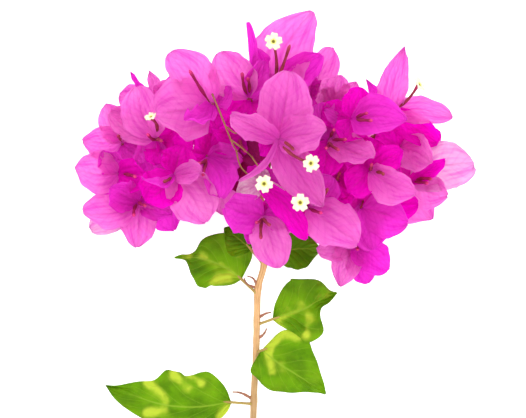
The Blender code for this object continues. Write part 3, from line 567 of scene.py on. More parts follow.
# Veins on a blade. The midrib runs along the middle of its UV map. A side vein is where the
# distance along the blade, less a sweep that grows towards the margin, comes to a whole share.
def buildVeins():
    inputs = (
        ("Map", "Vector", None), ("Side Veins", "Float", 8.0), ("Sweep", "Float", 0.3),
        ("Width", "Float", 0.1), ("Net Scale", "Float", 900.0),
    )
    tree, given, result = newGroup("bladeVeins", inputs, ("Midrib", "Side", "Net", "Swell"))
    split = addNode(tree, "SeparateXYZ", {0: given["Map"]})
    along, across = split.outputs["X"], split.outputs["Y"]
    middle = maths(tree, "ABSOLUTE", maths(tree, "MULTIPLY_ADD", across, 2.0, -1.0))
    thin = fading(tree, middle, *veinLook["midribWidth"])
    fade = fading(tree, along, *veinLook["midribFade"])
    sweep = maths(tree, "MULTIPLY", maths(tree, "POWER", middle, veinLook["bend"]), given["Sweep"])
    count = maths(tree, "MULTIPLY", maths(tree, "SUBTRACT", along, sweep), given["Side Veins"])
    half = maths(tree, "GREATER_THAN", across, 0.5)
    away = maths(tree, "PINGPONG", maths(tree, "MULTIPLY_ADD", half, veinLook["stagger"], count), 0.5)
    line = fading(tree, away, 0.0, given["Width"])
    margin = fading(tree, middle, *veinLook["marginFade"])
    cellInputs = {"Vector": addNode(tree, "TexCoord").outputs["Object"], "Scale": given["Net Scale"]}
    cells = addNode(tree, "TexVoronoi", cellInputs, feature="DISTANCE_TO_EDGE")
    tree.links.new(maths(tree, "MULTIPLY", thin, fade), result["Midrib"])
    tree.links.new(maths(tree, "MULTIPLY", line, margin), result["Side"])
    tree.links.new(maths(tree, "MULTIPLY", maths(tree, "MULTIPLY", away, 2.0), margin), result["Swell"])
    tree.links.new(fading(tree, cells.outputs["Distance"], 0.0, veinLook["netWidth"]), result["Net"])
    return tree


mottleLook = {"cloudDetail": 3.0, "grainScale": 9.0, "grainDetail": 4.0}  # the grain is this much finer


# Clouds of two sizes, which tone a surface unevenly.
def buildMottle():
    inputs = (("Scale", "Float", 60.0), ("Contrast", "Float", 0.25))
    tree, given, result = newGroup("unevenTone", inputs, ("Tone", "Fine"))
    place = addNode(tree, "TexCoord").outputs["Object"]
    cloud = noise(tree, place, Scale=given["Scale"], Detail=mottleLook["cloudDetail"])
    low = maths(tree, "SUBTRACT", 0.5, given["Contrast"])
    high = maths(tree, "ADD", 0.5, given["Contrast"])
    finer = maths(tree, "MULTIPLY", given["Scale"], mottleLook["grainScale"])
    grain = noise(tree, place, Scale=finer, Detail=mottleLook["grainDetail"])
    tree.links.new(ramp(tree, cloud, low, high), result["Tone"])
    tree.links.new(grain, result["Fine"])
    return tree


veinsGroup = buildVeins()
mottleGroup = buildMottle()


# The same side veins on a blade's shape: 1 on a vein and 0 midway between two.
def veinNearness(u, v, look):
    sweep = look["sweep"] * np.abs(v) ** veinLook["bend"]
    share = (u - sweep) * look["sideVeins"] + veinLook["stagger"] * (v > 0)
    return np.abs(share % 1 - 0.5) * 2


def placeVeins(tree, own, look):
    values = {
        "Map": own, "Side Veins": look["sideVeins"], "Sweep": look["sweep"],
        "Width": look["veinWidth"], "Net Scale": look["netScale"],
    }
    return addNode(tree, "Group", values, node_tree=veinsGroup).outputs


def placeMottle(tree, scale, contrast):
    return addNode(tree, "Group", {"Scale": scale, "Contrast": contrast}, node_tree=mottleGroup).outputs


def newMaterial(name):
    material = bpy.data.materials.new(name)
    material.use_nodes = True
    return material, material.node_tree, material.node_tree.nodes["Principled BSDF"]


def pieceInputs(tree, look):  # a piece's own map and tone, and an uneven tone over it
    own = addNode(tree, "UVMap", uv_map="bladeMap").outputs[0]
    depth = addNode(tree, "Attribute", attribute_name="toneDepth").outputs["Fac"]
    return own, depth, placeMottle(tree, *look["mottle"])


def linear(red, green, blue):  # a colour given in screen values, 0 to 255
    share = np.array((red, green, blue)) / 255
    return tuple(np.where(share <= 0.04045, share / 12.92, ((share + 0.055) / 1.055) ** 2.4).tolist())


def tinted(colour, shares):  # each part of a colour times its share, up to full
    return tuple(min(1.0, part * share) for part, share in zip(colour, shares))


def weighted(tree, weights, sockets):  # the sum of each value times its weight
    total = 0.0
    for weight, socket in zip(weights, sockets):
        total = maths(tree, "MULTIPLY_ADD", socket, weight, total)
    return total


def overlay(tree, colour, *layers):  # each layer is its mask, its strength and its colour
    for mask, strength, over in layers:
        colour = blend(tree, maths(tree, "MULTIPLY", mask, strength), colour, over)
    return colour


# The colour, gloss and relief of a surface, and a roughness that varies with its fine grain.
def finishSurface(tree, shader, look, colour, fine, height):
    tree.links.new(colour, shader.inputs["Base Color"])
    tree.links.new(maths(tree, "MULTIPLY_ADD", fine, *look["roughness"]), shader.inputs["Roughness"])
    shader.inputs["Specular IOR Level"].default_value = look["gloss"]
    strength, reach = look["bump"]
    bump = addNode(tree, "Bump", {"Height": height, "Strength": strength, "Distance": reach})
    tree.links.new(bump.outputs[0], shader.inputs["Normal"])
    return bump.outputs[0]


def shadeThrough(tree, shader, share, colour, normal):  # part of the light behind a blade shows
    behind = addNode(tree, "BsdfTranslucent", {"Color": colour, "Normal": normal})
    mixed = addNode(tree, "MixShader", {"Fac": share, 1: shader.outputs[0], 2: behind.outputs[0]})
    tree.links.new(mixed.outputs[0], tree.nodes["Material Output"].inputs["Surface"])


bractLook = {
    "width": 0.94,  # width over length of a bract that isn't laid
    "roundness": (0.5, 0.62),  # how fast the outline widens at the foot
    "point": (0.6, 0.9),  # and narrows at the tip
    "footWidth": 0.7,
    "footSpread": 2.0,  # how fast a bract may widen with its distance from the bloom's axis
    "cup": (15.0, 34.0),  # radius that a bract curls to across its midrib
    "footOpen": 0.55,  # share of its opening at the foot
    "tipOpen": 1.35,  # and at the tip
    "tipCurl": (-14.0, 12.0),  # degrees more or less at the tip
    "sway": 0.10,  # sideways bend, as a share of the length
    "step": 1.3,  # each laid bract of a bloom starts this much above the one before
    "sag": (0.05, 0.1),  # of the midrib of a laid bract, as a share of the length
    "curl": (-0.03, 0.1),  # of its tip
    "rise": (0.1, 0.45),  # of its margins, as a share of the half width
    "fullRelief": 14.0,  # a laid bract narrower than this has lower relief
    "waves": (1.4, 2.8),  # along a margin
    "ruffle": (1.0, 2.6),  # their height
    "fineRuffle": (0.4, 2.6),  # height of the finer ones on top, and how many to each wave
    "crumple": 1.6,  # its height
    "crumpleWaves": (5, 5.0),  # how many ripples it sums, and how close the first one runs
    "folds": 0.24,  # height of the folds that run from the foot to the margin
    "foldRun": (15, 2.2),  # radians across the blade, and how far they wander
    "foldWaves": (2, 4.0),
    "ribs": 0.22,  # height of the ridges along the side veins
    "groove": (0.5, 0.8),  # depth and width of the groove along the midrib
    "ragged": 0.12,  # how unevenly the outline runs, as a share of the half width
    "raggedWaves": (4, 6.0),
    "thickness": 0.16,
    "grid": (38, 27),
    "tiers": {  # bracts behind a bloom's own: how far behind, openings and how many
        "laid": ((9.0, 62.0, 78.0, 3), (6.0, 98.0, 122.0, 2)),
        "open": ((0.0, 78.0, 96.0, 3), (1.0, 112.0, 134.0, 3)),
    },
    "tierReach": (18.0, 24.0),  # their lengths
    "tierSway": (-12.0, 12.0),  # degrees that they stray from even spacing
    "tierShadeTints": (2, 0.7),  # painted shade for the bracts behind a bloom's own: the lighter tint's number, and the share that is one deeper
    # tone of the bracts behind, deeper on average: painted shade with a random spread
    "tierTone": (-0.3, 0.6),
    "tierGrid": (24, 17),
    "ownTone": (-0.5, 0.5),  # how much deeper or paler one bract is than the next
    "plainTone": 0.38,
    "toneAndPaintedLightShares": (0.6, 0.7, 0.12, 0.2, 0.45),  # of its own tone, of the painted shade at the foot and midrib, and of the painted light at the margin and tip
    # how far the painted shade at the foot reaches along the bract
    "footShadeReach": 0.22,
    "sideVeins": 7.0,
    "sweep": 0.36,
    "veinWidth": 0.20,
    "netScale": 620.0,
    "mottle": (55.0, 0.3),  # scale and contrast of its uneven tone
    "pleats": (1.7, 11.0, 1.0),  # fine folds that run along the blade: how many each way
    "pleatEdge": (0.42, 0.68),
    "overlays": (0.35, 0.4, 0.22, 0.2, 0.4),  # of uneven tone, pleats, net, side veins and midrib
    "lines": (0.5, 0.12, 0.25),  # of pleats, side veins and uneven tone in the light from behind
    "heights": (0.6, -0.3, 0.4, 1.6),  # of the swell between veins, the net, the grain and the pleats
    "midrib": (200, 70, 140),
    "deeper": (0.98, 0.33, 0.94),  # shares of the face's colour where it is deepest, in its own tone and in painted shade
    "lit": (1.055, 1.72, 1.06),  # and of the light's colour between the veins
    "shaded": (0.87, 0.5, 0.87),  # and on them
    "seeThrough": 0.68,
    "roughness": (0.2, 0.5),  # how much the grain adds, and the least
    "gloss": 0.12,
    "bump": (0.7, 0.0005),
    "tints": (  # by number: face, vein and the colour that light takes behind; tints 0 to 3 run pale to deep, partly the bracts' own colour and partly painted light on the pale ones and painted shade on the deep ones
        ((238, 172, 222), (216, 104, 194), (240, 176, 230)),
        ((239, 142, 215), (210, 74, 185), (246, 146, 231)),
        ((236, 84, 213), (206, 26, 172), (244, 92, 233)),
        ((242, 18, 210), (198, 0, 160), (255, 28, 232)),
        ((240, 212, 228), (212, 152, 192), (246, 218, 234)),
        # tint 5, dull and dusky, is painted shade for bracts that lie low under the twigs
        ((196, 40, 140), (140, 20, 84), (186, 24, 126)),
    ),
}


def bractMaterial(number, face, vein, behind):
    look = bractLook
    material, tree, shader = newMaterial(f"bractTint{number}")
    own, depth, tone = pieceInputs(tree, look)
    veins = placeVeins(tree, own, look)
    face, vein, behind = linear(*face), linear(*vein), linear(*behind)
    deeper = tinted(face, look["deeper"])
    stretch = addNode(tree, "Mapping", {"Vector": own, "Scale": look["pleats"]}).outputs[0]
    pleats = noise(tree, stretch, Scale=1.0, Detail=3.0, Distortion=0.6)
    folded = ramp(tree, pleats, *look["pleatEdge"])
    masks = (tone["Tone"], folded, veins["Net"], veins["Side"], veins["Midrib"])
    over = (deeper, vein, vein, vein, linear(*look["midrib"]))
    # the blend by toneDepth towards the deeper colour is each bract's own tone with painted shade at its
    # foot and painted light at its margin and tip
    colour = overlay(tree, blend(tree, depth, face, deeper), *zip(masks, look["overlays"], over))
    height = weighted(tree, look["heights"], (veins["Swell"], veins["Net"], tone["Fine"], pleats))
    normal = finishSurface(tree, shader, look, colour, tone["Fine"], height)
    lines = weighted(tree, look["lines"], (folded, veins["Side"], tone["Tone"]))
    through = blend(tree, lines, tinted(behind, look["lit"]), tinted(behind, look["shaded"]))
    shadeThrough(tree, shader, look["seeThrough"], through, normal)
    return material


# The outline of a bract, as a share of its half width: u to the roundness times (1 - u) to the
# point, with an uneven edge.
def bractOutline(u, v, point, rng):
    roundness = rng.uniform(*bractLook["roundness"])
    widest = roundness / (roundness + point)
    along = (0.03 + 0.97 * u) * 0.99  # neither end comes to nothing
    outline = along**roundness * (1 - along) ** point / (widest**roundness * (1 - widest) ** point)
    uneven = crumple(3 * u, v * 0 + np.sign(v), rng, *bractLook["raggedWaves"])
    return outline * (1 + bractLook["ragged"] * uneven)


# The relief of a bract: waves along the margins that die out towards the midrib, an uneven
# crumple, low ridges along the side veins, folds and a groove along the midrib.
def bractRelief(u, v, side, rng):
    look = bractLook
    waves, height = rng.uniform(*look["waves"]), rng.uniform(*look["ruffle"])
    phase = rng.uniform(0, 2 * math.pi, 2)
    reach = np.minimum(1, 3 * u)
    turns = 2 * math.pi * waves * u
    lift = height * reach * np.abs(v) ** 2.2 * np.sin(turns + phase[0] + 1.9 * np.sign(v))
    low, finer = look["fineRuffle"]
    lift += low * reach * v**4 * np.sin(finer * turns + phase[1] + 3 * np.sign(v))
    lift += look["crumple"] * crumple(u, v, rng, *look["crumpleWaves"]) * reach
    inside = np.minimum(1, 5 * np.abs(v)) * np.minimum(1, 5 * (1 - np.abs(v)))
    lift += look["ribs"] * veinNearness(u, v, look) * inside
    run, stray = look["foldRun"]
    wander = stray * crumple(2 * u, v, rng, *look["foldWaves"])
    lift += look["folds"] * reach * np.sin(run * v + wander + phase[0])
    deep, wide = look["groove"]
    return lift - deep * np.exp(-((side / wide) ** 2)) * np.minimum(1, 5 * u)


# The middle surface of a bract that points along x from a bloom that faces up. Its midrib is a
# stretch of circle that opens from the foot angle to the tip angle, swayed to one side, and the
# blade is rolled across it to the cup radius.
def openShape(u, v, length, opening, rng):
    look = bractLook
    footAngle = math.radians(opening * look["footOpen"])
    tipAngle = math.radians(opening * look["tipOpen"] + rng.uniform(*look["tipCurl"]))
    angle = footAngle + (tipAngle - footAngle) * u
    out = length * (math.cos(footAngle) - np.cos(angle)) / (tipAngle - footAngle)
    up = length * (np.sin(angle) - math.sin(footAngle)) / (tipAngle - footAngle)
    half = length * look["width"] / 2 * bractOutline(u, v, rng.uniform(*look["point"]), rng)
    side = v * np.minimum(half, look["footWidth"] + look["footSpread"] * out)
    cup = rng.uniform(*look["cup"])
    lift = cup * (1 - np.cos(side / cup)) + bractRelief(u, v, side, rng)
    aside = cup * np.sin(side / cup) + look["sway"] * rng.uniform(-1, 1) * length * u**2
    return np.stack((out - lift * np.cos(angle), aside, up + lift * np.sin(angle)), -1)


# The middle surface of a bract laid from its bloom's foot to its tip. The midrib sags below the
# straight line between them by a half sine and bends aside by another, the margins rise with the
# square of v, and the tip curls over.
def laidShape(u, v, foot, row, rng):
    look = bractLook
    width, roll, bend, _, point = row[3:]
    chord = np.array(row[:3], float) - foot
    length = np.linalg.norm(chord)
    run = chord / length
    flat = unit(np.cross((0, 0, 1), run))
    steep = np.cross(run, flat)
    turn = math.radians(roll)
    across = flat * math.cos(turn) + steep * math.sin(turn)
    face = steep * math.cos(turn) - flat * math.sin(turn)
    half = width / 2 * bractOutline(u, v, point, rng)
    side = v * np.minimum(half, look["footWidth"] + look["footSpread"] * u * length)
    lift = bractRelief(u, v, side, rng) * min(1, width / look["fullRelief"])
    lift += half * v**2 * rng.uniform(*look["rise"])
    lift -= length * (rng.uniform(*look["sag"]) * np.sin(math.pi * u) + rng.uniform(*look["curl"]) * u**4)
    aside = side + bend * length * np.sin(math.pi * u)
    return foot + u[..., None] * chord + aside[..., None] * across + lift[..., None] * face


# A bract as a patch. Its tone is deeper at the foot and by the midrib, which is painted shade, and paler
# towards the margin and the tip, which is painted light; its own share is the bract's real tone.
def bractPatch(points, u, v, tint, own):
    points[..., 2] = np.maximum(points[..., 2], room["floor"])
    ownShare, foot, rib, margin, tip = bractLook["toneAndPaintedLightShares"]
    depth = bractLook["plainTone"] + ownShare * own + foot * np.exp(-((u / bractLook["footShadeReach"]) ** 2))
    depth += rib * (1 - np.abs(v)) - margin * v**2 - tip * u**2
    return points, bladeMap(u, v), tint, np.clip(depth, 0, 1)


# A bract that opens from a bloom's axis, shortened and pressed so that it stays inside its walls.
def pressedShape(u, v, foot, axis, walls, way, length, opening, rng):
    spread = openShape(u, v, length, opening, rng) @ (turnTo(axis) @ spinBy(way)).T
    reach = min(1.0, room["overreach"] / crowding(foot + spread, walls).max())
    return press(foot + reach * spread, walls)


def openPatches(name, rng):
    axis = direction(*bloomRows[name][2])
    walls = roomWalls(name, room["margin"])
    u, v = grid(*bractLook["grid"])
    patches = []
    for way, opening, length, tint in openBracts[name]:
        points = pressedShape(u, v, walls[0], axis, walls, way, length, opening, rng)
        patches.append(bractPatch(points, u, v, tint, rng.uniform(*bractLook["ownTone"])))
    return patches


def laidPatches(name, rng):
    u, v = grid(*bractLook["grid"])
    patches = []
    for row in laidBracts[name]:
        foot = np.array(bloomRows[name][1], float) + (0, 0, bractLook["step"] * len(patches))
        points = laidShape(u, v, foot, row, rng)
        patches.append(bractPatch(points, u, v, row[6], rng.uniform(*bractLook["ownTone"])))
    return patches


# Tiers of bracts behind a bloom's own, flatter ones and ones that bend back, which fill the sprig
# between its blooms. Their deep tints and tones are painted shade.
def tierPatches(name, tiers, rng):
    look = bractLook
    axis = direction(*bloomRows[name][2])
    walls = roomWalls(name, room["underMargin"])
    u, v = grid(*look["tierGrid"])
    lighter, deeperShadeShare = look["tierShadeTints"]
    patches = []
    for drop, least, most, count in tiers:
        start = rng.uniform(0, 360)
        for number in range(count):
            length, opening = rng.uniform(*look["tierReach"]), rng.uniform(least, most)
            way = start + 360 * number / count + rng.uniform(*look["tierSway"])
            foot = walls[0] - drop * axis
            points = pressedShape(u, v, foot, axis, walls, way, length, opening, rng)
            tint = lighter + int(rng.uniform() < deeperShadeShare)
            patches.append(bractPatch(points, u, v, tint, rng.uniform(*look["tierTone"])))
    return patches


def buildBracts():
    look = bractLook
    materials = [bractMaterial(number, *tint) for number, tint in enumerate(look["tints"])]
    for place, name in enumerate(bloomRows):
        rng = np.random.default_rng(seeds["bracts"] + place)
        kind, own = ("laid", laidPatches) if name in laidBracts else ("open", openPatches)
        patches = own(name, rng) + tierPatches(name, look["tiers"][kind], rng)
        makePiece(f"bracts_{name}", patches, materials, [f"bloom_{name}"], look["thickness"])
    print("bracts are in place:", len(bloomRows), "blooms")


# slim flower tubes stand among the bracts of a bloom, and a few of them open into a star
flowerLook = {
    "radius": 0.8,
    "sides": 15,
    "steps": 22,
    "bow": 1.6,  # how far a closed tube bends aside
    "openBow": 2.0,
    "ribs": 0.07,  # height of its five ribs, as a share of the radius
    "openAge": 0.7,
    "spareTubes": 3,  # closed flowers of a bloom underneath
    "spareLean": 0.4,  # how far they may stray from its axis
    "spareLength": 12.0,
    "starDrop": 1.1,  # a tube ends this far behind its star
    "shape": {  # radii at shares of the length: thin stalk, swollen foot, neck and head
        "stops": (0.0, 0.22, 0.30, 0.42, 0.52, 0.70, 0.82, 0.92, 0.98, 1.0),
        "closed": (0.45, 0.45, 0.85, 1.15, 1.05, 0.80, 0.92, 1.10, 0.85, 0.25),
        "open": (0.45, 0.45, 0.85, 1.15, 1.05, 0.80, 0.80, 0.95, 1.10, 1.15),
    },
    "starRadius": 4.3,
    "starGrid": (12, 61),  # rings, and points round each
    "starLobes": (0.24, 0.05),  # depth of the gaps between its five lobes, and of the notch in each
    "starHeights": (0.6, 1.6, 0.4, 0.3),  # of its rim, of throat and gaps below that, and the ruffle
    "starThickness": 0.22,
}

tubeLook = {
    "young": (156, 18, 88),
    "old": (150, 62, 66),  # some tubes are dull brown
    "foot": (132, 70, 50),
    "tip": (232, 62, 136),
    "footEdge": (0.1, 0.35),
    "tipEdge": (0.82, 0.97),
    "shadow": (0.62, 0.5, 0.52),  # shares of the colour
    "mottle": (300.0, 0.2),
    "roughness": (0.3, 0.5),
    "gloss": 0.2,
    "bump": (0.5, 0.0003),
}

starLook = {
    "cream": (236, 230, 204),
    "creamDeep": (218, 208, 172),
    "yellow": (228, 222, 120),
    "throat": (120, 112, 24),
    "throatEdge": (0.14, 0.30),
    "yellowEdge": (0.26, 0.44),
    "mottle": (500.0, 0.3),
    "roughness": (0.2, 0.45),
    "gloss": 0.5,
    "bump": (0.3, 0.0002),
}


def tubeMaterial():
    look = tubeLook
    material, tree, shader = newMaterial("flowerTube")
    own, age, tone = pieceInputs(tree, look)
    along = addNode(tree, "SeparateXYZ", {0: own}).outputs["X"]
    tube = blend(tree, age, linear(*look["young"]), linear(*look["old"]))
    colour = blend(tree, ramp(tree, along, *look["footEdge"]), linear(*look["foot"]), tube)
    tip = maths(tree, "MULTIPLY", ramp(tree, along, *look["tipEdge"]), maths(tree, "SUBTRACT", 1.0, age))
    colour = blend(tree, tip, colour, linear(*look["tip"]))
    colour = blend(tree, tone["Tone"], colour, blend(tree, 1.0, colour, look["shadow"], "MULTIPLY"))
    finishSurface(tree, shader, look, colour, tone["Fine"], tone["Fine"])
    return material


def starMaterial():
    look = starLook
    material, tree, shader = newMaterial("flowerStar")
    own, _, tone = pieceInputs(tree, look)
    out = addNode(tree, "SeparateXYZ", {0: own}).outputs["X"]
    cream = blend(tree, tone["Tone"], linear(*look["cream"]), linear(*look["creamDeep"]))
    throat = ramp(tree, out, *look["throatEdge"])
    yellow = blend(tree, throat, linear(*look["throat"]), linear(*look["yellow"]))
    colour = blend(tree, ramp(tree, out, *look["yellowEdge"]), yellow, cream)
    finishSurface(tree, shader, look, colour, tone["Fine"], tone["Fine"])
    return material


# A flower from a bloom's foot to its tip, bent a little aside, with five low ribs.
def flowerPatch(foot, tip, kind, rng):
    look, shape = flowerLook, flowerLook["shape"]
    isOpen = kind == "open"
    u = np.linspace(0, 1, look["steps"])[:, None]
    aside = unit(np.cross(tip - foot, (0.3, 0.2, 1)))
    bow = look["openBow"] if isOpen else rng.uniform(-look["bow"], look["bow"])
    age = look["openAge"] if isOpen else rng.uniform(0, 1) ** 1.5
    path = foot + (tip - foot) * u + bow * np.sin(math.pi * u) * aside
    radii = look["radius"] * np.interp(u[:, 0], shape["stops"], shape[kind])
    return tubePatch(path, radii, look["sides"], age, lambda u, angle: 1 + look["ribs"] * np.cos(5 * angle))


# An open star: rings round its throat, drawn out into five notched lobes and ruffled at the rim.
def starPatch(middle, faces, size, rng):
    share, across = grid(*flowerLook["starGrid"])
    angle = math.pi * (across + 1)
    parting, notch = flowerLook["starLobes"]
    rim, throat, fall, ruffle = flowerLook["starHeights"]
    gap = (0.5 + 0.5 * np.cos(5 * angle)) ** 3
    lobes = 1 - parting * gap * share - notch * np.cos(10 * angle) * share**3
    radius = flowerLook["starRadius"] * size * share * lobes
    height = rim - throat * (1 - share) ** 4 - fall * share**2 * gap
    height += ruffle * share**3 * np.sin(10 * angle)
    flat = np.stack((radius * np.cos(angle), radius * np.sin(angle), height), -1)
    turn = turnTo(faces) @ spinBy(rng.uniform(0, 72))
    return middle + flat @ turn.T, bladeMap(share, across), 0, 0.0


def buildFlowers():
    tubes, stars = [], []
    for place, (name, (_, foot, faces)) in enumerate(bloomRows.items()):
        rng = np.random.default_rng(seeds["flowers"] + place)
        foot = np.array(foot, float)
        tips = tubeTips.get(name, ())
        if name in openBracts:
            lean, count = flowerLook["spareLean"], flowerLook["spareTubes"]
            ways = [unit(direction(*faces) + rng.uniform(-lean, lean, 3)) for _ in range(count)]
            tips = [foot + flowerLook["spareLength"] * way for way in ways]
        for tip in tips:
            tubes.append(flowerPatch(foot, np.array(tip, float), "closed", rng))
        if name in openFlowers:
            middle, way, size = openFlowers[name]
            middle, way = np.array(middle), unit(np.array(way, float))
            tubes.append(flowerPatch(foot, middle - flowerLook["starDrop"] * way, "open", rng))
            stars.append(starPatch(middle, way, size, rng))
    makePiece("flowerTubes", tubes, [tubeMaterial()], [f"bloom_{name}" for name in bloomRows])
    openOnes = [f"bloom_{name}" for name in openFlowers]
    makePiece("flowerStars", stars, [starMaterial()], openOnes, flowerLook["starThickness"])
    print("flowers are in place:", len(tubes), "tubes,", len(stars), "of them open")


woodLook = {
    "stemSides": 28,
    "stemSteps": 14,
    "nodeSwell": 0.168,  # where a leaf or a stub leaves the stem
    "nodeLength": 2.2,
    "ribHeights": (0.018, 0.010),  # of its broad and narrow ribs, as shares of the radius
    "ribWander": 0.6,
    "ringHeight": 0.006,
    "stemTip": 0.75,  # share of the radius left at the very tip
    "wornPlaces": (-112, -80, -40),  # y along the stem: the cut end is greyer
    "wornShares": (1.0, 0.45, 0.0),
    "limbSides": 12,
    "limbSteps": 8,
    "limbFoot": 1.25,  # a limb's foot is this much thicker
    "twigTaper": 0.7,
    "stalkSides": 9,
    "stalkBow": 0.08,  # how far it sinks behind the bloom, as a share of its length
    "stalkStops": (0, 0.1, 0.8, 1),
    "stalkRadii": (0.8, 0.55, 0.6, 1.0),
    "cupEnds": (-1.6, 1.4),  # it runs from behind the bloom's foot to before it
    "cupRadii": (0.5, 0.95, 1.2, 1.35, 1.4, 1.3, 1.0, 0.5),
    "cupSides": 10,
    "knob": (1.6, 1.5, 9),  # half its length, its radius and how many rings it has
    "stubSteps": 14,
    "stubTaper": 0.62,
    "stubRings": (0.12, 20),  # height as a share of the radius, radians along
    "stubTone": 0.3,
    "barks": {  # light, dark and worn colours, and how fine the fibre runs along and round
        "stemBark": ((226, 184, 130), (176, 128, 78), (142, 116, 80), (14.0, 20.0, 1.0)),
        "youngBark": ((158, 116, 70), (120, 66, 56), (120, 66, 56), (3.0, 9.0, 1.0)),
        "rosyStalk": ((168, 70, 92), (120, 66, 56), (120, 66, 56), (3.0, 9.0, 1.0)),
        "driedTwig": ((176, 122, 96), (128, 80, 62), (110, 66, 52), (4.0, 9.0, 1.0)),
        "leafStalk": ((176, 156, 84), (146, 116, 60), (120, 60, 56), (2.0, 8.0, 1.0)),
    },
    "fibreEdge": (0.38, 0.72),
    "shadow": (0.74, 0.66, 0.58),  # shares of the colour
    "overlays": (0.55, 0.8),  # of that shadow, and of wear
    "mottle": (140.0, 0.22),
    "roughness": (0.3, 0.45),
    "gloss": 0.3,
    "bump": (0.5, 0.0002),
    "heights": (0.5, 1.0),  # of the grain and the fibre
}


def barkMaterial(name):
    look = woodLook
    light, dark, worn, streaks = look["barks"][name]
    material, tree, shader = newMaterial(name)
    own, age, tone = pieceInputs(tree, look)
    stretch = addNode(tree, "Mapping", {"Vector": own, "Scale": streaks}).outputs[0]
    fibre = noise(tree, stretch, Scale=1.0, Detail=5.0, Roughness=0.6)
    colour = blend(tree, ramp(tree, fibre, *look["fibreEdge"]), linear(*light), linear(*dark))
    shadow = blend(tree, 1.0, colour, look["shadow"], "MULTIPLY")
    colour = overlay(tree, colour, *zip((tone["Tone"], age), look["overlays"], (shadow, linear(*worn))))
    height = weighted(tree, look["heights"], (tone["Fine"], fibre))
    finishSurface(tree, shader, look, colour, tone["Fine"], height)
    return material


# Long low ribs that wander a little round the stem, and faint rings.
def stemRidges(u, angle):
    broad, narrow = woodLook["ribHeights"]
    ring = woodLook["ringHeight"]
    wander = woodLook["ribWander"] * np.sin(5 * u)
    ribs = broad * np.sin(5 * angle + wander) + narrow * np.sin(11 * angle - wander)
    return 1 + ribs + ring * np.sin(90 * u) + ring * np.sin(37 * u)


# The stem, a little thicker wherever a leaf or a stub leaves it.
def stemPatch():
    look = woodLook
    steps = look["stemSteps"]
    path = smoothPath([row[:3] for row in stemRows], steps)
    radii = np.interp(np.arange(len(path)) / steps, np.arange(len(stemRows)), [row[3] for row in stemRows])
    for row in (*leafRows.values(), *stubRows.values()):
        near = np.linalg.norm(path - np.array(row[0]), axis=1)
        radii = radii + look["nodeSwell"] * np.exp(-((near / look["nodeLength"]) ** 2))
    radii[-steps:] *= np.linspace(1, look["stemTip"], steps)
    worn = np.interp(path[:, 1], look["wornPlaces"], look["wornShares"])
    worn = np.r_[worn[0], worn, worn[-1]][:, None]
    return tubePatch(path, radii, look["stemSides"], worn, stemRidges)


# A stub tapers and curls aside towards its tip.
def stubPatch(foot, tip, radius, curl):
    foot, tip = np.array(foot), np.array(tip)
    u = np.linspace(0, 1, woodLook["stubSteps"])[:, None]
    aside = unit(np.cross(tip - foot, (0, 0, 1)))
    path = foot + (tip - foot) * u + aside * curl * np.sin(math.pi * u * 1.15) * u
    height, run = woodLook["stubRings"]
    radii = radius * (1 - woodLook["stubTaper"] * u[:, 0]) * (1 + height * np.sin(run * u[:, 0]))
    return tubePatch(path, radii, woodLook["stalkSides"], woodLook["stubTone"])


def limbPatch(path, footRadius, tipRadius):
    path = smoothPath(path, woodLook["limbSteps"])
    radii = np.linspace(footRadius, tipRadius, len(path))
    radii[0] *= woodLook["limbFoot"]
    return tubePatch(path, radii, woodLook["limbSides"])


# A round knob at the tip of a bough, where its stalks meet.
def knobPatch(path):
    reach, radius, rings = woodLook["knob"]
    along = np.linspace(-1, 1, rings)
    line = np.array(path[-1]) + reach * np.outer(along, unit(np.subtract(path[-1], path[-2])))
    return tubePatch(line, radius * np.sqrt(np.clip(1 - along**2, 0.02, 1)), woodLook["limbSides"])


# The stalk from a bough's tip to a bloom's foot, and the small cup that the bloom stands in.
def stalkPatches(start, end, axis):
    look = woodLook
    middle = start * 0.45 + end * 0.55 - axis * np.linalg.norm(end - start) * look["stalkBow"]
    path = smoothPath((start, middle, end), look["limbSteps"])
    radii = np.interp(np.linspace(0, 1, len(path)), look["stalkStops"], look["stalkRadii"])
    cup = end + np.outer(np.linspace(*look["cupEnds"], len(look["cupRadii"])), axis)
    stalk = tubePatch(path, radii, look["stalkSides"])
    return stalk, tubePatch(cup, look["cupRadii"], look["cupSides"])


def buildWood():
    bark, young, rosy, dried = map(barkMaterial, ("stemBark", "youngBark", "rosyStalk", "driedTwig"))
    makePiece("stemBarked", [stemPatch()], [bark], ["stem"])
    makePiece("driedStubs", [stubPatch(*row) for row in stubRows.values()], [dried], ["stem"])
    boughs, stalks = [], []
    for path, footRadius, tipRadius in boughRows.values():
        boughs += [limbPatch(path, footRadius, tipRadius), knobPatch(path)]
    for path, radius in twigRows:
        boughs.append(limbPatch(path, radius, woodLook["twigTaper"] * radius))
    for bough, foot, faces in bloomRows.values():
        stalks += stalkPatches(np.array(boughRows[bough][0][-1]), np.array(foot, float), direction(*faces))
    makePiece("boughsBarked", boughs, [young], [f"bough_{name}" for name in boughRows])
    makePiece("bloomStalks", stalks, [rosy], [f"bloom_{name}" for name in bloomRows])
    print("stem, boughs and stalks are in place")


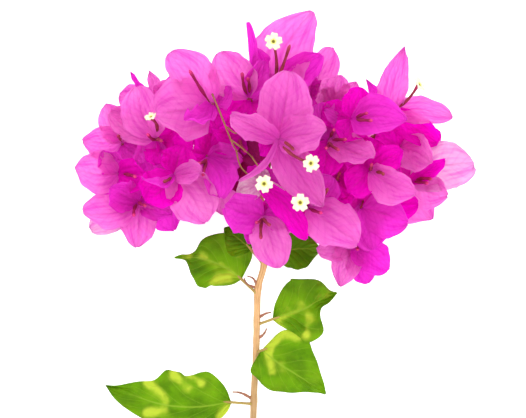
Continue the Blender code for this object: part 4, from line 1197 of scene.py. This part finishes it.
leafLook = {
    "thickness": 0.32,
    "grid": (64, 45),
    "wave": 1.5,  # heights of the slow waves of the margin
    "ripple": 0.6,  # and of the fine ones
    "quilt": 0.5,  # the blade swells this much between its side veins
    "crumple": 1.1,
    "crumpleWaves": (3, 5.0),
    "lobes": 0.02,  # how far the margin goes in and out, as a share of the half width
    "marginRuns": (24, 9, 21),  # radians of the lobes, waves and ripples along it
    "stalkSides": 10,
    "stalkSteps": 6,
    "stalkRise": 0.8,
    "stalkStops": (0, 0.2, 0.7, 1),
    "stalkRadii": (1.0, 0.7, 0.7, 0.3),
    "sideVeins": 6.0,
    "sweep": 0.42,
    "veinWidth": 0.07,
    "netScale": 1000.0,
    "green": (104, 154, 2),
    # dark green, for the uneven tone and for the painted shade of the dark streaks
    "dark": (62, 104, 0),
    "lime": (146, 184, 22),
    "patch": (206, 220, 64),
    "vein": (150, 182, 50),
    "behind": (130, 200, 6),
    "mottle": (110.0, 0.2),
    "cloud": (75.0, 0.3),
    "cloudShare": 0.5,  # of the cloud in the yellow patches
    "streakBreak": (1.1, 0.45),  # how much the uneven tone adds to a streak, and the least
    "patchEdge": (0.3, 1.35),
    "overlays": (0.35, -0.8, 0.85, 0.10, 0.35, 0.7),  # of lime, dark (painted shade along the dark streaks), streaks, net, side veins, midrib
    "heights": (1.0, -0.2, 0.4),  # of the swell between veins, the net and the grain
    "seeThrough": 0.28,
    "roughness": (0.25, 0.36),
    "gloss": 0.08,
    "bump": (0.5, 0.0004),
}


def leafMaterial():
    look = leafLook
    material, tree, shader = newMaterial("leafVariegated")
    own, depth, tone = pieceInputs(tree, look)
    veins = placeVeins(tree, own, look)
    cloud = placeMottle(tree, *look["cloud"])["Tone"]
    broken = maths(tree, "MULTIPLY", depth, maths(tree, "MULTIPLY_ADD", tone["Tone"], *look["streakBreak"]))
    uneven = maths(tree, "MULTIPLY_ADD", cloud, look["cloudShare"], broken)
    patch = ramp(tree, uneven, *look["patchEdge"])
    keys = ("green", "dark", "lime", "patch", "vein")
    green, dark, lime, yellow, vein = (linear(*look[key]) for key in keys)
    # toneDepth below 0 paints shade in the dark colour
    masks = (cloud, depth, patch, veins["Net"], veins["Side"], veins["Midrib"])
    over = (lime, dark, yellow, vein, vein, vein)
    colour = overlay(tree, blend(tree, tone["Tone"], green, dark), *zip(masks, look["overlays"], over))
    height = weighted(tree, look["heights"], (veins["Swell"], veins["Net"], tone["Fine"]))
    normal = finishSurface(tree, shader, look, colour, tone["Fine"], height)
    shadeThrough(tree, shader, look["seeThrough"], (*linear(*look["behind"]), 1.0), normal)
    return material


# An oval pointed leaf on a curved midrib, with its halves folded up along it. Between the side
# veins the blade swells, and its margin ripples and lobes.
def leafShape(u, v, row, rng):
    _, midrib, left, right, fold = row
    look = leafLook
    path = smoothPath(midrib, 8)
    run = np.cumsum(np.r_[0, np.linalg.norm(np.diff(path, axis=0), axis=1)])
    heading = unit(np.gradient(path[:, :2], axis=0))
    columns = (*path.T, -heading[:, 1], heading[:, 0])
    x, y, z, acrossX, acrossY = (np.interp(u, run / run[-1], column) for column in columns)
    halves = []
    for stations in (left, right):
        share, width = smoothPath(stations, 6).T
        halves.append(np.interp(u, np.maximum.accumulate(share), np.maximum(width, 0.15)))
    phase = rng.uniform(0, 2 * math.pi, 6)
    lobeRun, waveRun, rippleRun = look["marginRuns"]
    lobes = np.sin(lobeRun * u + np.where(v > 0, phase[0], phase[1]))
    side = v * np.where(v > 0, *halves) * (1 + look["lobes"] * lobes)
    inside = np.minimum(1, 6 * np.abs(v)) * np.minimum(1, 3 * (1 - np.abs(v)))
    reach = np.minimum(1, 3 * u)
    rise = np.abs(side) * math.tan(math.radians(fold))
    rise += look["wave"] * v**2 * np.sin(waveRun * u + 2.5 * (v > 0) + phase[4]) * reach
    rise += look["ripple"] * v**4 * np.sin(rippleRun * u + 2 * np.sign(v) + phase[5])
    rise -= look["quilt"] * veinNearness(u, v, look) ** 2 * inside
    rise += look["crumple"] * crumple(u, v, rng, *look["crumpleWaves"]) * reach
    return np.stack((x + side * acrossX, y + side * acrossY, z + rise), -1)


# The strength of the streaks at each point: it falls off as exp(-(distance / width)^2).
def streaked(points, rows):
    total = np.zeros(points.shape[:2])
    for *ends, width, strength in rows:
        start, run = np.array(ends[:2]), np.array(ends[2:]) - ends[:2]
        share = np.clip((points[..., :2] - start) @ run / (run @ run), 0, 1)
        away = np.linalg.norm(points[..., :2] - start - share[..., None] * run, axis=-1)
        total += strength * np.exp(-((away / width) ** 2))
    return total


# A stalk from the stem that runs on a little way along the midrib.
def leafStalkPatch(foot, base):
    look = leafLook
    run = unit(base - foot)
    middle = (foot + base) / 2 + (0, 0, look["stalkRise"])
    path = smoothPath((foot, middle, base + run, base + 4 * run), look["stalkSteps"])
    radii = np.interp(np.linspace(0, 1, len(path)), look["stalkStops"], look["stalkRadii"])
    return tubePatch(path, radii, look["stalkSides"])


def buildLeaves():
    green, stalkGreen = leafMaterial(), barkMaterial("leafStalk")
    u, v = grid(*leafLook["grid"])
    for place, (name, row) in enumerate(leafRows.items()):
        points = leafShape(u, v, row, np.random.default_rng(seeds["leaves"] + place))
        blade = (points, bladeMap(u, v), 0, streaked(points, leafStreaks[name]))
        makePiece(f"leafBlade_{name}", [blade], [green], [f"leaf_{name}"], leafLook["thickness"])
        stalk = leafStalkPatch(np.array(row[0]), np.array(row[1][0], float))
        makePiece(f"leafStalk_{name}", [stalk], [stalkGreen], [f"leaf_{name}"])
    print("leaves are in place:", len(leafRows))


studio = {
    "tableSize": 3.0,
    "tableColour": (0.92, 0.92, 0.92),
    "tableRoughness": 0.8,
    "tableGlow": 0.6,
    "sky": 1.32,
    "lamps": {  # place and what it aims at in metres, power and size
        "keyLamp": ((-0.45, 0.5, 1.1), (0, 0, 0.04), 5.5, 0.9),
        "fillLamp": ((0.7, -0.3, 0.9), (0, 0, 0.04), 3.0, 0.9),
    },
    "cameraPlace": (-5.0, 7.5, 935.0),  # in the sprig's millimetres
    "sensor": 36.0,
    "nearest": 0.01,
    "pixelsHalfWide": 263,
    "lensFor": 900.0,  # distance at which two pixels are a millimetre
    "white": (1.0, 1.0, 1.0, 1.0),
}


def buildTable():
    side = studio["tableSize"] / 2
    corners = [(-side, -side, 0), (side, -side, 0), (side, side, 0), (-side, side, 0)]
    mesh = bpy.data.meshes.new("table")
    mesh.from_pydata(corners, [], [(0, 1, 2, 3)])
    table = bpy.data.objects.new("table", mesh)
    bpy.context.scene.collection.objects.link(table)
    material, _, shader = newMaterial("paleTable")
    shader.inputs["Base Color"].default_value = (*studio["tableColour"], 1.0)
    shader.inputs["Roughness"].default_value = studio["tableRoughness"]
    shader.inputs["Emission Color"].default_value = studio["white"]
    shader.inputs["Emission Strength"].default_value = studio["tableGlow"]
    mesh.materials.append(material)


def addLamp(name, place, target, power, size):
    light = bpy.data.lights.new(name, "AREA")
    light.energy, light.shape, light.size = power, "DISK", size
    lamp = bpy.data.objects.new(name, light)
    lamp.location = place
    lamp.rotation_euler = (Vector(target) - Vector(place)).to_track_quat("-Z", "Y").to_euler()
    bpy.context.scene.collection.objects.link(lamp)


def buildCamera():
    camera = bpy.data.cameras.new("camera")
    camera.sensor_width = studio["sensor"]
    camera.lens = studio["sensor"] * studio["lensFor"] / studio["pixelsHalfWide"]
    camera.clip_start = studio["nearest"]
    eye = bpy.data.objects.new("camera", camera)
    eye.location = (np.array(studio["cameraPlace"]) - layoutOrigin) * millimetre
    bpy.context.scene.collection.objects.link(eye)
    bpy.context.scene.camera = eye


def buildStudio():
    buildTable()
    world = bpy.data.worlds.new("softSky")
    world.use_nodes = True
    world.node_tree.nodes["Background"].inputs["Color"].default_value = studio["white"]
    world.node_tree.nodes["Background"].inputs["Strength"].default_value = studio["sky"]
    bpy.context.scene.world = world
    for name, row in studio["lamps"].items():
        addLamp(name, *row)
    buildCamera()
    bpy.context.scene.view_settings.view_transform = "Standard"
    print("table, light and camera are in place")


buildBracts()
buildFlowers()
buildWood()
buildLeaves()
buildStudio()

print("all pieces are made")
